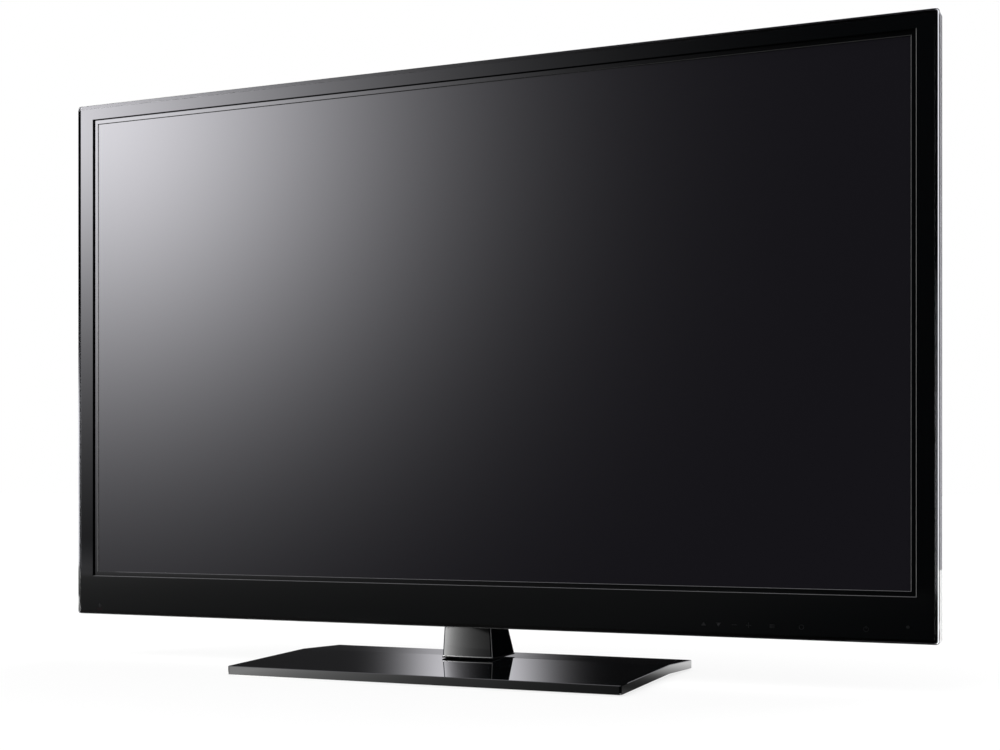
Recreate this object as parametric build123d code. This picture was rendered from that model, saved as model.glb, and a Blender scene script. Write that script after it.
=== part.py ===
from build123d import *
import os

# Plasma television on a swivel stand, in millimetres.
# +X is the viewer's right, the screen faces -Y, +Z is up.
# The origin is on the floor, under the middle of the base.

# Screen window and the borders round it
screen_width = 1108.0
screen_height = 624.0
border_side = 31.7
border_top = 26.6
border_bottom = 59.2
cabinet_corner = 4.0

# Cabinet: height off the floor, depths back from the bezel's face
cabinet_clearance = 58.0
cabinet_front_y = -14.0
front_depth = 23.0
cover_depth = 25.5
plateau_rise = 4.0

# Bezel, its clear outer rim and the stepped band round the glass
bezel_wall = 3.0
skirt_wall = 2.5
rim_width = 5.0
rim_wall = 2.0
rim_lip = 1.5
rim_bevel = 0.8
band_width = 6.0
band_lap = 3.0
band_thickness = 1.5
edge_bevel = 0.5
fit_gap = 0.1
boss_inset = 7.2
boss_radius = 3.2
boss_bore_radius = 1.3
post_inset = 9.0
post_radius = 3.5

# Glass stack, front to back
filter_margin_side = 8.0
filter_thickness = 2.5
gasket_thickness = 1.0
gasket_width = 6.0
front_glass_margin_side = 16.0
front_glass_margin_top = 8.0
rear_glass_margin_side = 8.0
rear_glass_margin_top = 13.0
glass_thickness = 2.8
thermal_thickness = 1.0
chassis_thickness = 2.0
chassis_margin = 10.0

# Chassis rails and wall-mount bosses
rail_depth = 10.0
rail_width = 28.0
rail_wall = 2.0
rail_end_margin = 6.0
wall_pattern = 400.0
wall_pattern_mid_z = 415.0
wall_boss_radius = 9.0
wall_bolt_radius = 3.0
wall_bolt_depth = 15.0
bracket_plate_width = 16.0
bracket_plate_thickness = 1.2
bracket_reach = 24.0
bracket_margin = 36.0

# Circuit boards
board_thickness = 1.6
board_gap = 8.0
board_edge_margin = 10.0
board_hole_radius = 1.7
board_hole_inset = 6.0
standoff_radius = 3.2
board_screw_head = 2.8
board_screw_height = 1.8
address_board_height = 62.0
address_board_start = 60.0
scan_board_width = 70.0
main_board_height = 170.0
control_board_height = 120.0
small_board_thickness = 1.2

# Parts on the boards
sink_fins = 8
sink_fin_pitch = 6.0
sink_fin_thickness = 1.6
sink_base = 3.0
sink_depth = 14.0
sink_length = 110.0
capacitor_radius = 9.0
capacitor_height = 18.0
capacitor_pitch = 27.0
capacitor_count = 3
transformer_size = 38.0
transformer_height = 17.0
chip_size = 28.0
chip_height = 2.6

# Ribbons and wires
ribbon_thickness = 0.3
ribbon_width = 42.0
ribbon_bend = 2.0
ribbon_drop = 3.5
ribbons_per_board = 6
scan_ribbons_per_board = 3
sustain_ribbon_count = 3
wire_radius = 1.8
wire_lift = 10.0
wire_bend = 5.0

# Pressed back cover
cover_wall = 1.0
cover_flange_inset = 3.2
cover_inset = 11.0
cover_slope = 8.0
cover_corner = 14.0
plateau_width = 820.0
plateau_height = 530.0
plateau_mid_z = 450.0
plateau_corner = 30.0
plateau_slope = 4.0
vent_length = 30.0
vent_width = 4.5
vent_pitch = 32.0
vents_in_row = 22
vent_rows = 2
vent_row_pitch = 40.0
vent_rows_above_bosses = 45.0
low_vents = 8
low_vent_height = 92.0
low_vent_start = 215.0
cover_screw_head = 2.9
cover_screw_height = 1.6
cover_screw_row_share = 0.36
cover_screw_inner_share = 0.17
cover_screw_outer_share = 0.42

# Connector panels
jack_window_width = 150.0
jack_window_height = 45.0
jack_window_left = -385.0
jack_window_above_board = 14.0
jack_plate_lap = 3.0
jack_plate_wall = 1.0
side_window_height = 110.0
side_window_depth = 11.5
side_window_above_board = 30.0
phono_radius = 4.2
phono_bore = 1.7
phono_reach = 8.0
phono_pitch = 22.0
phono_count = 5
hdmi_width = 16.0
hdmi_height = 7.6
hdmi_wall = 1.2
hdmi_cavity_depth = 12.0
usb_width = 14.5
usb_cavity_height = 5.2
antenna_radius = 5.0
antenna_bore = 2.4
inlet_x = 130.0
inlet_above_boards = 35.0
inlet_width = 29.0
inlet_height = 21.5
inlet_wall = 2.4
inlet_cavity_depth = 17.0
inlet_flange = 2.0
inlet_flange_lap = 4.0
inlet_pin_length = 12.5
inlet_pin_width = 4.0
inlet_pin_thickness = 2.0
inlet_pin_spread = 7.0

# Loudspeakers, receiver eye and touch keys in the lower border
speaker_start = 150.0
speaker_length = 240.0
speaker_height = 26.0
speaker_front_gap = 3.0
speaker_rear_gap = 0.5
speaker_corner = 6.0
cone_width = 13.0
cone_length = 90.0
cone_recess = 3.0
grille_slots = 8
eye_inset = 36.7
eye_width = 8.0
eye_height = 3.6
eye_rise = 0.5
eye_flange = 2.0
eye_flange_thickness = 1.0
touch_board_start = 250.0
touch_board_length = 220.0
touch_board_height = 16.0
touch_board_rise = 11.0
sensor_board_width = 46.0
sensor_board_height = 20.0

# Base: a shallow tent of gloss plastic over a steel plate
base_width = 514.0
base_depth = 290.0
base_edge_height = 12.0
base_ridge_rise = 4.0
base_ridge_y = 43.0
base_skin = 3.0
base_side_wall = 2.5
base_skirt_gap = 1.5
base_corner = 2.5
base_bevel = 0.6
base_plate_gap = 0.4
base_plate_thickness = 2.5
foot_height = 4.5
foot_radius = 9.0
foot_inset = 24.0
base_boss_radius = 5.0
base_screw_radius = 1.5
base_screw_head = 3.4
base_screw_head_height = 1.6
base_screw_inset_x = 52.0
base_screw_inset_y = 40.0

# Swivel: spindle in a flanged bush, with a pin in an arc slot as the stop
swivel_y = 46.8
swivel_limit = 20.0
spindle_radius = 10.0
spindle_running_gap = 0.06
spindle_flange_radius = 34.0
spindle_flange_thickness = 3.0
spindle_hub_radius = 20.0
spindle_hub_gap = 1.0
bush_wall = 3.0
bush_flange_radius = 22.0
bush_flange_thickness = 1.0
stop_pin_radius = 3.0
stop_pin_shank = 2.0
stop_pin_orbit = 28.0
stop_gap = 0.3
washer_radius = 18.0
washer_thickness = 1.2
nut_across_flats = 30.0
nut_thickness = 2.0

# Neck: gloss covers over a pressed steel post
neck_half_width_low = 33.9
neck_half_width_high = 31.3
neck_reach_low = 38.9
neck_reach_high = 21.3
neck_crown = 1.6
neck_wall = 2.5
neck_foot_lap = 0.8
neck_foot_thickness = 1.5
neck_foot_lift = 0.3
neck_seam = 0.5
neck_split_gap = 0.2
neck_tuck = 8.0
neck_return = 16.0
neck_bezel_gap = 0.3
notch_gap = 1.5
post_half_width = 22.0
post_wall = 3.0
post_gap = 1.5
post_front_gap = 0.9
post_base_thickness = 4.0
post_top_drop = 14.0
post_screw_offset = 10.0
post_screw_radius = 2.5
post_screw_head = 4.5
post_screw_head_height = 3.0
stand_bolt_x = 12.0
stand_bolt_radius = 3.0
stand_bolt_head = 5.5
stand_bolt_head_height = 4.5
stand_bolt_pitch = 30.0
stand_bolt_access = 7.0
bracket_half_tongue = 20.0
bracket_half_width = 40.0
bracket_foot = 12.0
bracket_wall = 3.0
bracket_height = 92.0
bracket_bolt_margin = 13.0

# Places worked out from the sizes above
cabinet_width = screen_width + 2 * border_side
cabinet_height = screen_height + border_bottom + border_top
cabinet_mid_z = cabinet_clearance + cabinet_height / 2
screen_mid_z = cabinet_clearance + border_bottom + screen_height / 2
split_y = cabinet_front_y + front_depth
cover_back_y = split_y + cover_depth
plateau_back_y = cover_back_y + plateau_rise
bezel_back_y = cabinet_front_y + bezel_wall
filter_front_y = bezel_back_y + band_thickness
gasket_front_y = filter_front_y + filter_thickness
panel_front_y = gasket_front_y + gasket_thickness
panel_joint_y = panel_front_y + glass_thickness
panel_back_y = panel_joint_y + glass_thickness
chassis_front_y = panel_back_y + thermal_thickness
chassis_back_y = chassis_front_y + chassis_thickness
board_front_y = chassis_back_y + rail_depth
board_back_y = board_front_y + board_thickness
chassis_half_width = screen_width / 2 + chassis_margin
chassis_bottom_z = screen_mid_z - screen_height / 2 - chassis_margin
chassis_top_z = screen_mid_z + screen_height / 2 + chassis_margin
rail_x = wall_pattern / 2
column_inner_x = rail_x + rail_width / 2 + board_gap
column_outer_x = chassis_half_width - board_edge_margin
centre_half_width = rail_x - rail_width / 2 - board_gap
address_low_z = chassis_bottom_z + board_gap
address_high_z = address_low_z + address_board_height
column_low_z = address_high_z + board_gap
column_high_z = chassis_top_z - board_edge_margin
bracket_top_z = chassis_bottom_z + bracket_height
base_plate_top = foot_height + base_plate_thickness
bush_top = base_plate_top + bush_flange_thickness
spindle_flange_top = bush_top + spindle_flange_thickness
neck_foot_z = base_edge_height + base_ridge_rise + neck_foot_lift
post_bottom_z = neck_foot_z + neck_foot_thickness + neck_split_gap
neck_bottom_z = neck_foot_z + neck_foot_thickness + neck_seam
neck_front_y = split_y + neck_bezel_gap
post_front_y = neck_front_y + neck_crown + neck_wall + post_front_gap
bracket_low_z = cabinet_clearance + neck_tuck + neck_foot_thickness
speaker_low_z = cabinet_clearance + cover_inset + cover_wall
eye_x = -cabinet_width / 2 + eye_inset
eye_low_z = cabinet_clearance + rim_wall + skirt_wall + 2 * fit_gap
plateau_inner_y = plateau_back_y - cover_wall
cover_inner_y = cover_back_y - cover_wall
speaker_rear_y = cover_inner_y - cover_slope - speaker_rear_gap


def upright(outline, y_front, y_back):
    """Give a front-view outline (x, z) its depth."""
    return extrude(Plane.XZ.offset(-y_back) * outline, y_back - y_front)


def rise(outline, z_low, z_high):
    """Give a plan outline (x, y) its height."""
    return extrude(Plane.XY.offset(z_low) * outline, z_high - z_low)


def across(profile, x_left, x_right):
    """Run a side-view profile (y, z) from x_left to x_right."""
    return extrude(Plane.YZ.offset(x_left) * profile, x_right - x_left)


def span(low_a, high_a, low_b, high_b):
    """Rectangle between two corners of a sketch."""
    middle = Pos((low_a + high_a) / 2, (low_b + high_b) / 2)
    return middle * Rectangle(high_a - low_a, high_b - low_b)


def rod(x, z, radius, y_front, y_back):
    """Round bar or bore along Y."""
    return upright(Pos(x, z) * Circle(radius), y_front, y_back)


def pillar(x, y, radius, z_low, z_high):
    """Round bar or bore along Z."""
    return rise(Pos(x, y) * Circle(radius), z_low, z_high)


def group(pieces):
    """Hold separate solids together as one set."""
    return Compound(children=[solid for piece in pieces for solid in piece.solids()])


def cabinet_outline(inset):
    """Front outline of the cabinet, drawn in by inset."""
    corner = max(cabinet_corner - inset, edge_bevel)
    outline = RectangleRounded(cabinet_width - 2 * inset, cabinet_height - 2 * inset, corner)
    return Pos(0, cabinet_mid_z) * outline


def screen_outline(side, top):
    """Outline of the screen window, grown by a margin at the sides and one at the top and bottom."""
    return Pos(0, screen_mid_z) * Rectangle(screen_width + 2 * side, screen_height + 2 * top)


def opening_edges(solid, margin):
    """Edges of the foremost plane round an opening that is margin larger than the screen window."""
    half_width = screen_width / 2 + margin + fit_gap
    half_height = screen_height / 2 + margin + fit_gap
    foremost = solid.edges().group_by(Axis.Y)[0]
    return [edge for edge in foremost if abs(edge.center().X) < half_width and
            abs(edge.center().Z - screen_mid_z) < half_height]


def cover_screw_points():
    """Where the back cover is screwed to the bezel, as (x, z)."""
    side_x = cabinet_width / 2 - boss_inset
    low_z = cabinet_clearance + boss_inset
    high_z = cabinet_clearance + cabinet_height - boss_inset
    row_rise = cover_screw_row_share * cabinet_height
    points = [(side * side_x, cabinet_mid_z + row * row_rise) for side in (-1, 1) for row in (-1, 0, 1)]
    for share in (cover_screw_inner_share, cover_screw_outer_share):
        points += [(side * share * cabinet_width, z) for side in (-1, 1) for z in (low_z, high_z)]
    return points


def panel_post_points():
    """Where the panel brackets are fixed to the bezel, as (x, z)."""
    x = cabinet_width / 2 - post_inset
    heights = (chassis_bottom_z + bracket_margin, chassis_top_z - bracket_margin)
    return [(side * x, z) for side in (-1, 1) for z in heights]


def base_top_at(y):
    """Height of the base's upper face at a depth."""
    if y < base_ridge_y:
        return base_edge_height + base_ridge_rise * (y + base_depth / 2) / (base_ridge_y + base_depth / 2)
    return base_edge_height + base_ridge_rise * (base_depth / 2 - y) / (base_depth / 2 - base_ridge_y)


def base_profile(inset, low, drop):
    """Side profile of the base: flat below, bent along the ridge above."""
    half = base_depth / 2 - inset
    return Polygon(
        (-half, low),
        (half, low),
        (half, base_top_at(half) - drop),
        (base_ridge_y, base_edge_height + base_ridge_rise - drop),
        (-half, base_top_at(-half) - drop),
        align=None,
    )


def base_screw_points():
    x = base_width / 2 - base_screw_inset_x
    y = base_depth / 2 - base_screw_inset_y
    return [(side * x, end * y) for side in (-1, 1) for end in (-1, 0, 1)]


def base_cover():
    """Gloss shell, open below, with screw posts and a hole for the spindle's hub."""
    shell = across(base_profile(0, base_skirt_gap, 0), -base_width / 2, base_width / 2)
    shell = fillet(shell.edges().filter_by(Axis.Z), base_corner)
    top_rim = [edge for edge in shell.edges() if edge.bounding_box().min.Z > base_edge_height - edge_bevel]
    ridge = [edge for edge in top_rim if edge.length > base_width - 4 * base_corner and
             abs(edge.center().Y - base_ridge_y) < edge_bevel]
    shell = chamfer([edge for edge in top_rim if edge not in ridge], base_bevel)
    inner_half = base_width / 2 - base_side_wall
    shell -= across(base_profile(base_side_wall, 0, base_skin), -inner_half, inner_half)
    for x, y in base_screw_points():
        shell += pillar(x, y, base_boss_radius, base_plate_top, base_top_at(y) - base_skin / 2)
        shell -= pillar(x, y, base_screw_radius, base_plate_top, base_top_at(y) - base_skin)
    hub_hole = spindle_hub_radius + spindle_hub_gap
    return shell - pillar(0, swivel_y, hub_hole, base_plate_top, neck_foot_z)


def base_plate():
    """Steel plate that closes the base, bored for the bush, the stop pin and the screws."""
    inset = base_side_wall + base_plate_gap
    plate = rise(RectangleRounded(base_width - 2 * inset, base_depth - 2 * inset, base_corner), foot_height,
                 base_plate_top)
    bush_outer = spindle_radius + spindle_running_gap + bush_wall
    plate -= pillar(0, swivel_y, bush_outer + spindle_running_gap, 0, base_plate_top)
    plate -= pillar(0, swivel_y - stop_pin_orbit, stop_pin_shank + spindle_running_gap, 0, base_plate_top)
    for x, y in base_screw_points():
        plate -= pillar(x, y, base_screw_radius + fit_gap, 0, base_plate_top)
    return plate


def base_feet():
    """Rubber feet under the steel plate."""
    x = base_width / 2 - foot_inset
    y = base_depth / 2 - foot_inset
    spots = [(side * x, end * y) for side in (-1, 1) for end in (-1, 1)] + [(0, -y), (0, y)]
    return group([pillar(a, b, foot_radius, 0, foot_height) for a, b in spots])


def base_screws():
    """Screws from below, through the plate into the cover's posts."""
    screws = []
    for x, y in base_screw_points():
        head = pillar(x, y, base_screw_head, foot_height - base_screw_head_height, foot_height)
        shank_top = base_top_at(y) - base_skin - fit_gap
        screws.append(head + pillar(x, y, base_screw_radius - fit_gap, foot_height, shank_top))
    return group(screws)


def swivel_bush():
    """Flanged plastic bush in the plate, which carries the spindle."""
    bore = Circle(spindle_radius + spindle_running_gap)
    sleeve = Circle(spindle_radius + spindle_running_gap + bush_wall) - bore
    flange = Circle(bush_flange_radius) - bore
    place = Pos(0, swivel_y)
    return rise(place * sleeve, foot_height, base_plate_top) + rise(place * flange, base_plate_top, bush_top)


def swivel_stop_pin():
    """Shouldered pin riveted into the plate."""
    place = Pos(0, swivel_y - stop_pin_orbit)
    pin_top = spindle_flange_top - stop_gap
    return rise(place * Circle(stop_pin_shank), foot_height, base_plate_top) + rise(
        place * Circle(stop_pin_radius), base_plate_top, pin_top)


def swivel_spindle():
    """Turned spindle: shaft, flange with the arc slot of the stop, and hub."""
    shaft_end = foot_height - fit_gap - washer_thickness - nut_thickness
    place = Pos(0, swivel_y)
    spindle = rise(place * Circle(spindle_radius), shaft_end, bush_top)
    spindle += rise(place * Circle(spindle_flange_radius), bush_top, spindle_flange_top)
    spindle += rise(place * Circle(spindle_hub_radius), spindle_flange_top, post_bottom_z)
    slot_line = CenterArc((0, 0), stop_pin_orbit, 270 - swivel_limit, 2 * swivel_limit)
    slot = SlotArc(slot_line, 2 * (stop_pin_radius + stop_gap))
    spindle -= rise(place * slot, bush_top, spindle_flange_top)
    for x, y in post_screw_points():
        spindle -= pillar(x, y, post_screw_radius + fit_gap, spindle_flange_top, post_bottom_z)
    return spindle


def swivel_washer():
    """Thrust washer under the plate."""
    ring = Circle(washer_radius) - Circle(spindle_radius + spindle_running_gap)
    top = foot_height - fit_gap
    return rise(Pos(0, swivel_y) * ring, top - washer_thickness, top)


def swivel_nut():
    """Thin nut on the spindle's end."""
    ring = RegularPolygon(nut_across_flats / 2, 6, major_radius=False)
    ring -= Circle(spindle_radius + spindle_running_gap)
    top = foot_height - fit_gap - washer_thickness
    return rise(Pos(0, swivel_y) * ring, top - nut_thickness, top)


def neck_half_width(z):
    slope = (neck_half_width_high - neck_half_width_low) / (cabinet_clearance - neck_bottom_z)
    return neck_half_width_low + slope * (z - neck_bottom_z)


def neck_rear_y(z):
    slope = (neck_reach_high - neck_reach_low) / (cabinet_clearance - neck_bottom_z)
    return swivel_y + neck_reach_low + slope * (z - neck_bottom_z)


def neck_top_height():
    """Height at which the neck's sloping back meets the back cover."""
    slope = (neck_reach_high - neck_reach_low) / (cabinet_clearance - neck_bottom_z)
    return neck_bottom_z + (cover_back_y - swivel_y - neck_reach_low) / slope


neck_top_z = neck_top_height()
post_top_z = neck_top_z - post_top_drop


def neck_outline(z, inset):
    """Plan section of the neck: a crowned front, straight sides and back."""
    half = neck_half_width(z) - inset
    front = neck_front_y + inset
    rear = neck_rear_y(z) - inset
    crown = ThreePointArc((-half, front + neck_crown), (0, front), (half, front + neck_crown))
    sides = Polyline((half, front + neck_crown), (half, rear), (-half, rear), (-half, front + neck_crown))
    return make_face(crown.edges() + sides.edges())


def neck_shell():
    """Tapered tube of the two neck covers before they are parted."""
    levels = (neck_bottom_z, neck_top_z)
    outer = loft([Plane.XY.offset(z) * neck_outline(z, 0) for z in levels], ruled=True)
    inner = loft([Plane.XY.offset(z) * neck_outline(z, neck_wall) for z in levels], ruled=True)
    return outer - inner


def neck_rear_zone(gap):
    """Space behind the seam of the neck covers, drawn forward by gap."""
    reach = neck_return + gap
    low = neck_bottom_z - neck_wall
    high = neck_top_z + neck_wall
    far = neck_rear_y(low) + neck_wall
    profile = Polygon(
        (neck_rear_y(low) - reach, low),
        (far, low),
        (far, high),
        (neck_rear_y(high) - reach, high),
        align=None,
    )
    return across(profile, -neck_half_width_low, neck_half_width_low)


def stand_bolt_points():
    low = bracket_low_z + bracket_bolt_margin
    return [(side * stand_bolt_x, low + row * stand_bolt_pitch) for side in (-1, 1) for row in (0, 1)]


def neck_front_cover():
    """Gloss cover round the front and sides of the post, up into the cabinet's lower edge."""
    half = neck_half_width_low
    lower_part = span(-half, half, neck_bottom_z, cabinet_clearance + neck_tuck)
    kept = upright(lower_part, split_y, neck_rear_y(neck_bottom_z))
    return (neck_shell() & kept) - neck_rear_zone(neck_split_gap)


def neck_rear_cover():
    """Sloping cover at the back of the neck, with access holes for the stand bolts."""
    cover = neck_shell() & neck_rear_zone(0)
    near = cover_inner_y - neck_return / 2
    for x, z in stand_bolt_points():
        cover -= rod(x, z, stand_bolt_access, near, neck_rear_y(neck_bottom_z))
    return cover


def neck_foot():
    """Thin shoe under the neck that turns just clear of the base."""
    outline = offset(neck_outline(neck_bottom_z, 0), neck_foot_lap)
    outline -= Pos(0, swivel_y) * Circle(spindle_hub_radius + fit_gap)
    return rise(outline, neck_foot_z, neck_foot_z + neck_foot_thickness)


def post_screw_points():
    reach = post_screw_offset
    return [(a * reach, swivel_y + b * reach) for a in (-1, 1) for b in (-1, 1)]


def post_outline(z, inset):
    half = post_half_width - inset
    rear = neck_rear_y(z) - neck_wall - post_gap - inset
    return Plane.XY.offset(z) * span(-half, half, post_front_y + inset, rear)


def neck_post():
    """Pressed steel box that tapers upwards, closed by a foot plate."""
    levels = (post_bottom_z, post_top_z)
    hollow_from = post_bottom_z + post_base_thickness
    hollow_y = post_front_y + 2 * post_wall
    outer = loft([post_outline(z, 0) for z in levels], ruled=True)
    inner = loft([post_outline(z, post_wall) for z in (hollow_from, post_top_z)], ruled=True)
    post = outer - inner
    for x, y in post_screw_points():
        post -= pillar(x, y, post_screw_radius + fit_gap, post_bottom_z, hollow_from)
    for x, z in stand_bolt_points():
        post -= rod(x, z, stand_bolt_radius + fit_gap, post_front_y, post_front_y + post_wall)
        post -= rod(x, z, stand_bolt_access, hollow_y, neck_rear_y(neck_bottom_z))
    return post


def post_screws():
    """Screws that hold the post's foot plate on the spindle's hub."""
    seat = post_bottom_z + post_base_thickness
    screws = []
    for x, y in post_screw_points():
        shank = pillar(x, y, post_screw_radius, spindle_flange_top + fit_gap, seat)
        screws.append(shank + pillar(x, y, post_screw_head, seat, seat + post_screw_head_height))
    return group(screws)


def stand_bolts():
    """Bolts from inside the post into the bracket."""
    seat = post_front_y + post_wall
    bolts = []
    for x, z in stand_bolt_points():
        shank = rod(x, z, stand_bolt_radius, post_front_y - bracket_wall, seat)
        bolts.append(shank + rod(x, z, stand_bolt_head, seat, seat + stand_bolt_head_height))
    return group(bolts)


def stand_bracket():
    """Hat-section bracket on the chassis, with a tongue down to the post."""
    rear = post_front_y
    web_front = rear - bracket_wall
    hat = span(-bracket_half_width, bracket_half_width, web_front, rear)
    for side in (-1, 1):
        inner = side * (bracket_half_width - bracket_wall)
        outer = side * bracket_half_width
        toe = side * (bracket_half_width + bracket_foot)
        hat += span(min(inner, outer), max(inner, outer), chassis_back_y, rear)
        hat += span(min(inner, toe), max(inner, toe), chassis_back_y, chassis_back_y + bracket_wall)
    bracket = rise(hat, chassis_bottom_z, bracket_top_z)
    tongue = span(-bracket_half_tongue, bracket_half_tongue, bracket_low_z, chassis_bottom_z)
    bracket += upright(tongue, web_front, rear)
    for x, z in stand_bolt_points():
        bracket -= rod(x, z, stand_bolt_radius + fit_gap, web_front, rear)
    return bracket


def edge_trim():
    """Clear rim: a narrow lip in front and a wall back along the cabinet's sides."""
    trim = upright(cabinet_outline(0), cabinet_front_y, split_y)
    trim = chamfer(trim.edges().group_by(Axis.Y)[0], rim_bevel)
    trim -= upright(cabinet_outline(rim_width), cabinet_front_y, cabinet_front_y + rim_lip)
    return trim - upright(cabinet_outline(rim_wall), cabinet_front_y + rim_lip, split_y)


def front_bezel():
    """Moulded gloss frame with a skirt behind the rim, screw bosses and bracket posts."""
    face = upright(cabinet_outline(rim_width + fit_gap), cabinet_front_y, bezel_back_y)
    face -= upright(screen_outline(band_width, band_width), cabinet_front_y, bezel_back_y)
    face = chamfer(opening_edges(face, band_width), edge_bevel)
    skirt_inset = rim_wall + fit_gap
    shoulder_y = cabinet_front_y + rim_lip + fit_gap
    shoulder = cabinet_outline(skirt_inset) - cabinet_outline(rim_width + skirt_wall)
    bezel = face + upright(shoulder, shoulder_y, bezel_back_y)
    skirt = cabinet_outline(skirt_inset) - cabinet_outline(skirt_inset + skirt_wall)
    bezel += upright(skirt, shoulder_y, split_y)
    for x, z in cover_screw_points():
        bezel += rod(x, z, boss_radius, bezel_back_y - fit_gap, split_y)
        bezel -= rod(x, z, boss_bore_radius, bezel_back_y + bezel_wall, split_y)
    for x, z in panel_post_points():
        bezel += rod(x, z, post_radius, bezel_back_y - fit_gap, chassis_back_y)
    return bezel - upright(eye_outline(fit_gap), cabinet_front_y, bezel_back_y)


def eye_outline(margin):
    """Small window of the remote-control receiver, low at the left."""
    z = eye_low_z - fit_gap + eye_rise + eye_height / 2
    return Pos(eye_x, z) * Rectangle(eye_width + 2 * margin, eye_height + 2 * margin)


def sensor_lens():
    """Dark clear window of the receiver, with a flange behind the bezel."""
    half = eye_width / 2 + eye_flange
    flange = span(eye_x - half, eye_x + half, eye_low_z, eye_low_z + eye_height + 2 * eye_flange)
    lens = upright(eye_outline(0), cabinet_front_y, bezel_back_y)
    return lens + upright(flange, bezel_back_y, bezel_back_y + eye_flange_thickness)


def sensor_board():
    """Small board behind the receiver's window."""
    half = sensor_board_width / 2
    outline = span(eye_x - half, eye_x + half, eye_low_z, eye_low_z + sensor_board_height)
    front = bezel_back_y + eye_flange_thickness
    return upright(outline, front, front + small_board_thickness)


def touch_key_board():
    """Strip of touch electrodes stuck behind the lower border, at the right."""
    low = cabinet_clearance + touch_board_rise
    outline = span(touch_board_start, touch_board_start + touch_board_length, low, low + touch_board_height)
    return upright(outline, bezel_back_y, bezel_back_y + small_board_thickness)


def inner_trim():
    """Flat black band set back between the bezel and the glass."""
    band = screen_outline(band_width + band_lap, band_width + band_lap) - screen_outline(0, 0)
    ring = upright(band, bezel_back_y, filter_front_y)
    return chamfer(opening_edges(ring, 0), edge_bevel)


def front_filter_glass():
    """Tempered sheet that the viewer sees, with its optical film."""
    return upright(screen_outline(filter_margin_side, filter_margin_side), filter_front_y, gasket_front_y)


def filter_gasket():
    """Conductive foam between the filter and the panel."""
    edge = filter_margin_side - edge_bevel
    ring = screen_outline(edge, edge) - screen_outline(edge - gasket_width, edge - gasket_width)
    return upright(ring, gasket_front_y, panel_front_y)


def panel_front_glass():
    """Front plate of the plasma panel, wider than the rear one for the scan leads."""
    outline = screen_outline(front_glass_margin_side, front_glass_margin_top)
    return upright(outline, panel_front_y, panel_joint_y)


def panel_rear_glass():
    """Rear plate of the plasma panel, taller than the front one for the address leads."""
    outline = screen_outline(rear_glass_margin_side, rear_glass_margin_top)
    return upright(outline, panel_joint_y, panel_back_y)


def thermal_sheet():
    """Heat-spreading sheet between the panel and the chassis."""
    return upright(screen_outline(0, 0), panel_back_y, chassis_front_y)


def chassis_plate():
    """Aluminium plate that stiffens the panel and carries the electronics."""
    return upright(screen_outline(chassis_margin, chassis_margin), chassis_front_y, chassis_back_y)


def chassis_rails():
    """Two upright channels behind the chassis, in line with the wall-mount bosses."""
    rails = []
    for side in (-1, 1):
        x = side * rail_x
        channel = span(x - rail_width / 2, x + rail_width / 2, chassis_back_y, board_front_y)
        inner_half = rail_width / 2 - rail_wall
        channel -= span(x - inner_half, x + inner_half, chassis_back_y, board_front_y - rail_wall)
        rails.append(rise(channel, chassis_bottom_z + rail_end_margin, chassis_top_z - rail_end_margin))
    return group(rails)


def wall_mount_points():
    half = wall_pattern / 2
    return [(a * half, wall_pattern_mid_z + b * half) for a in (-1, 1) for b in (-1, 1)]


def wall_mount_bosses():
    """Threaded bosses from the rails to the back cover."""
    bosses = []
    for x, z in wall_mount_points():
        boss = rod(x, z, wall_boss_radius, board_front_y, plateau_back_y)
        boss -= rod(x, z, wall_bolt_radius, plateau_back_y - wall_bolt_depth, plateau_back_y)
        bosses.append(boss)
    return group(bosses)


def panel_brackets():
    """Steel tabs from the chassis to the bezel's posts."""
    tabs = []
    half = bracket_plate_width / 2
    for x, z in panel_post_points():
        side = 1 if x > 0 else -1
        inner = side * (chassis_half_width - bracket_reach)
        outer = x + side * post_radius
        tab = span(min(inner, outer), max(inner, outer), z - half, z + half)
        tabs.append(upright(tab, chassis_back_y, chassis_back_y + bracket_plate_thickness))
    return group(tabs)


def board_outlines():
    """Each main circuit board as (left, right, low, high)."""
    inner = column_inner_x
    outer = column_outer_x
    middle = (column_low_z + column_high_z) / 2
    scan_inner = outer - scan_board_width
    main_top = column_low_z + main_board_height
    control_low = bracket_top_z + board_gap
    control_top = control_low + control_board_height
    supply_low = control_top + board_gap
    sustain_low = column_low_z + board_gap
    sustain_high = column_high_z - board_gap
    return {
        "address_board_left": (-outer, -address_board_start, address_low_z, address_high_z),
        "address_board_right": (address_board_start, outer, address_low_z, address_high_z),
        "scan_board_lower": (scan_inner, outer, column_low_z, middle - board_gap / 2),
        "scan_board_upper": (scan_inner, outer, middle + board_gap / 2, column_high_z),
        "y_sustain_board": (inner, scan_inner - board_gap, sustain_low, sustain_high),
        "main_board": (-outer, -inner, column_low_z, main_top),
        "z_sustain_board": (-outer, -inner, main_top + board_gap, column_high_z),
        "control_board": (-centre_half_width, centre_half_width, control_low, control_top),
        "power_supply_board": (-centre_half_width, centre_half_width, supply_low, column_high_z),
    }


boards = board_outlines()


def board_hole_points(name):
    left, right, low, high = boards[name]
    inset = board_hole_inset
    return [(x, z) for x in (left + inset, right - inset) for z in (low + inset, high - inset)]


def circuit_board(name):
    """Flat board with a hole near each corner."""
    board = upright(span(*boards[name]), board_front_y, board_back_y)
    for x, z in board_hole_points(name):
        board -= rod(x, z, board_hole_radius, board_front_y, board_back_y)
    return board


def board_standoffs():
    """Hexagonal standoffs between the chassis and the boards."""
    hexagon = RegularPolygon(standoff_radius, 6)
    points = [point for name in boards for point in board_hole_points(name)]
    return group([upright(Pos(x, z) * hexagon, chassis_back_y, board_front_y) for x, z in points])


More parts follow.
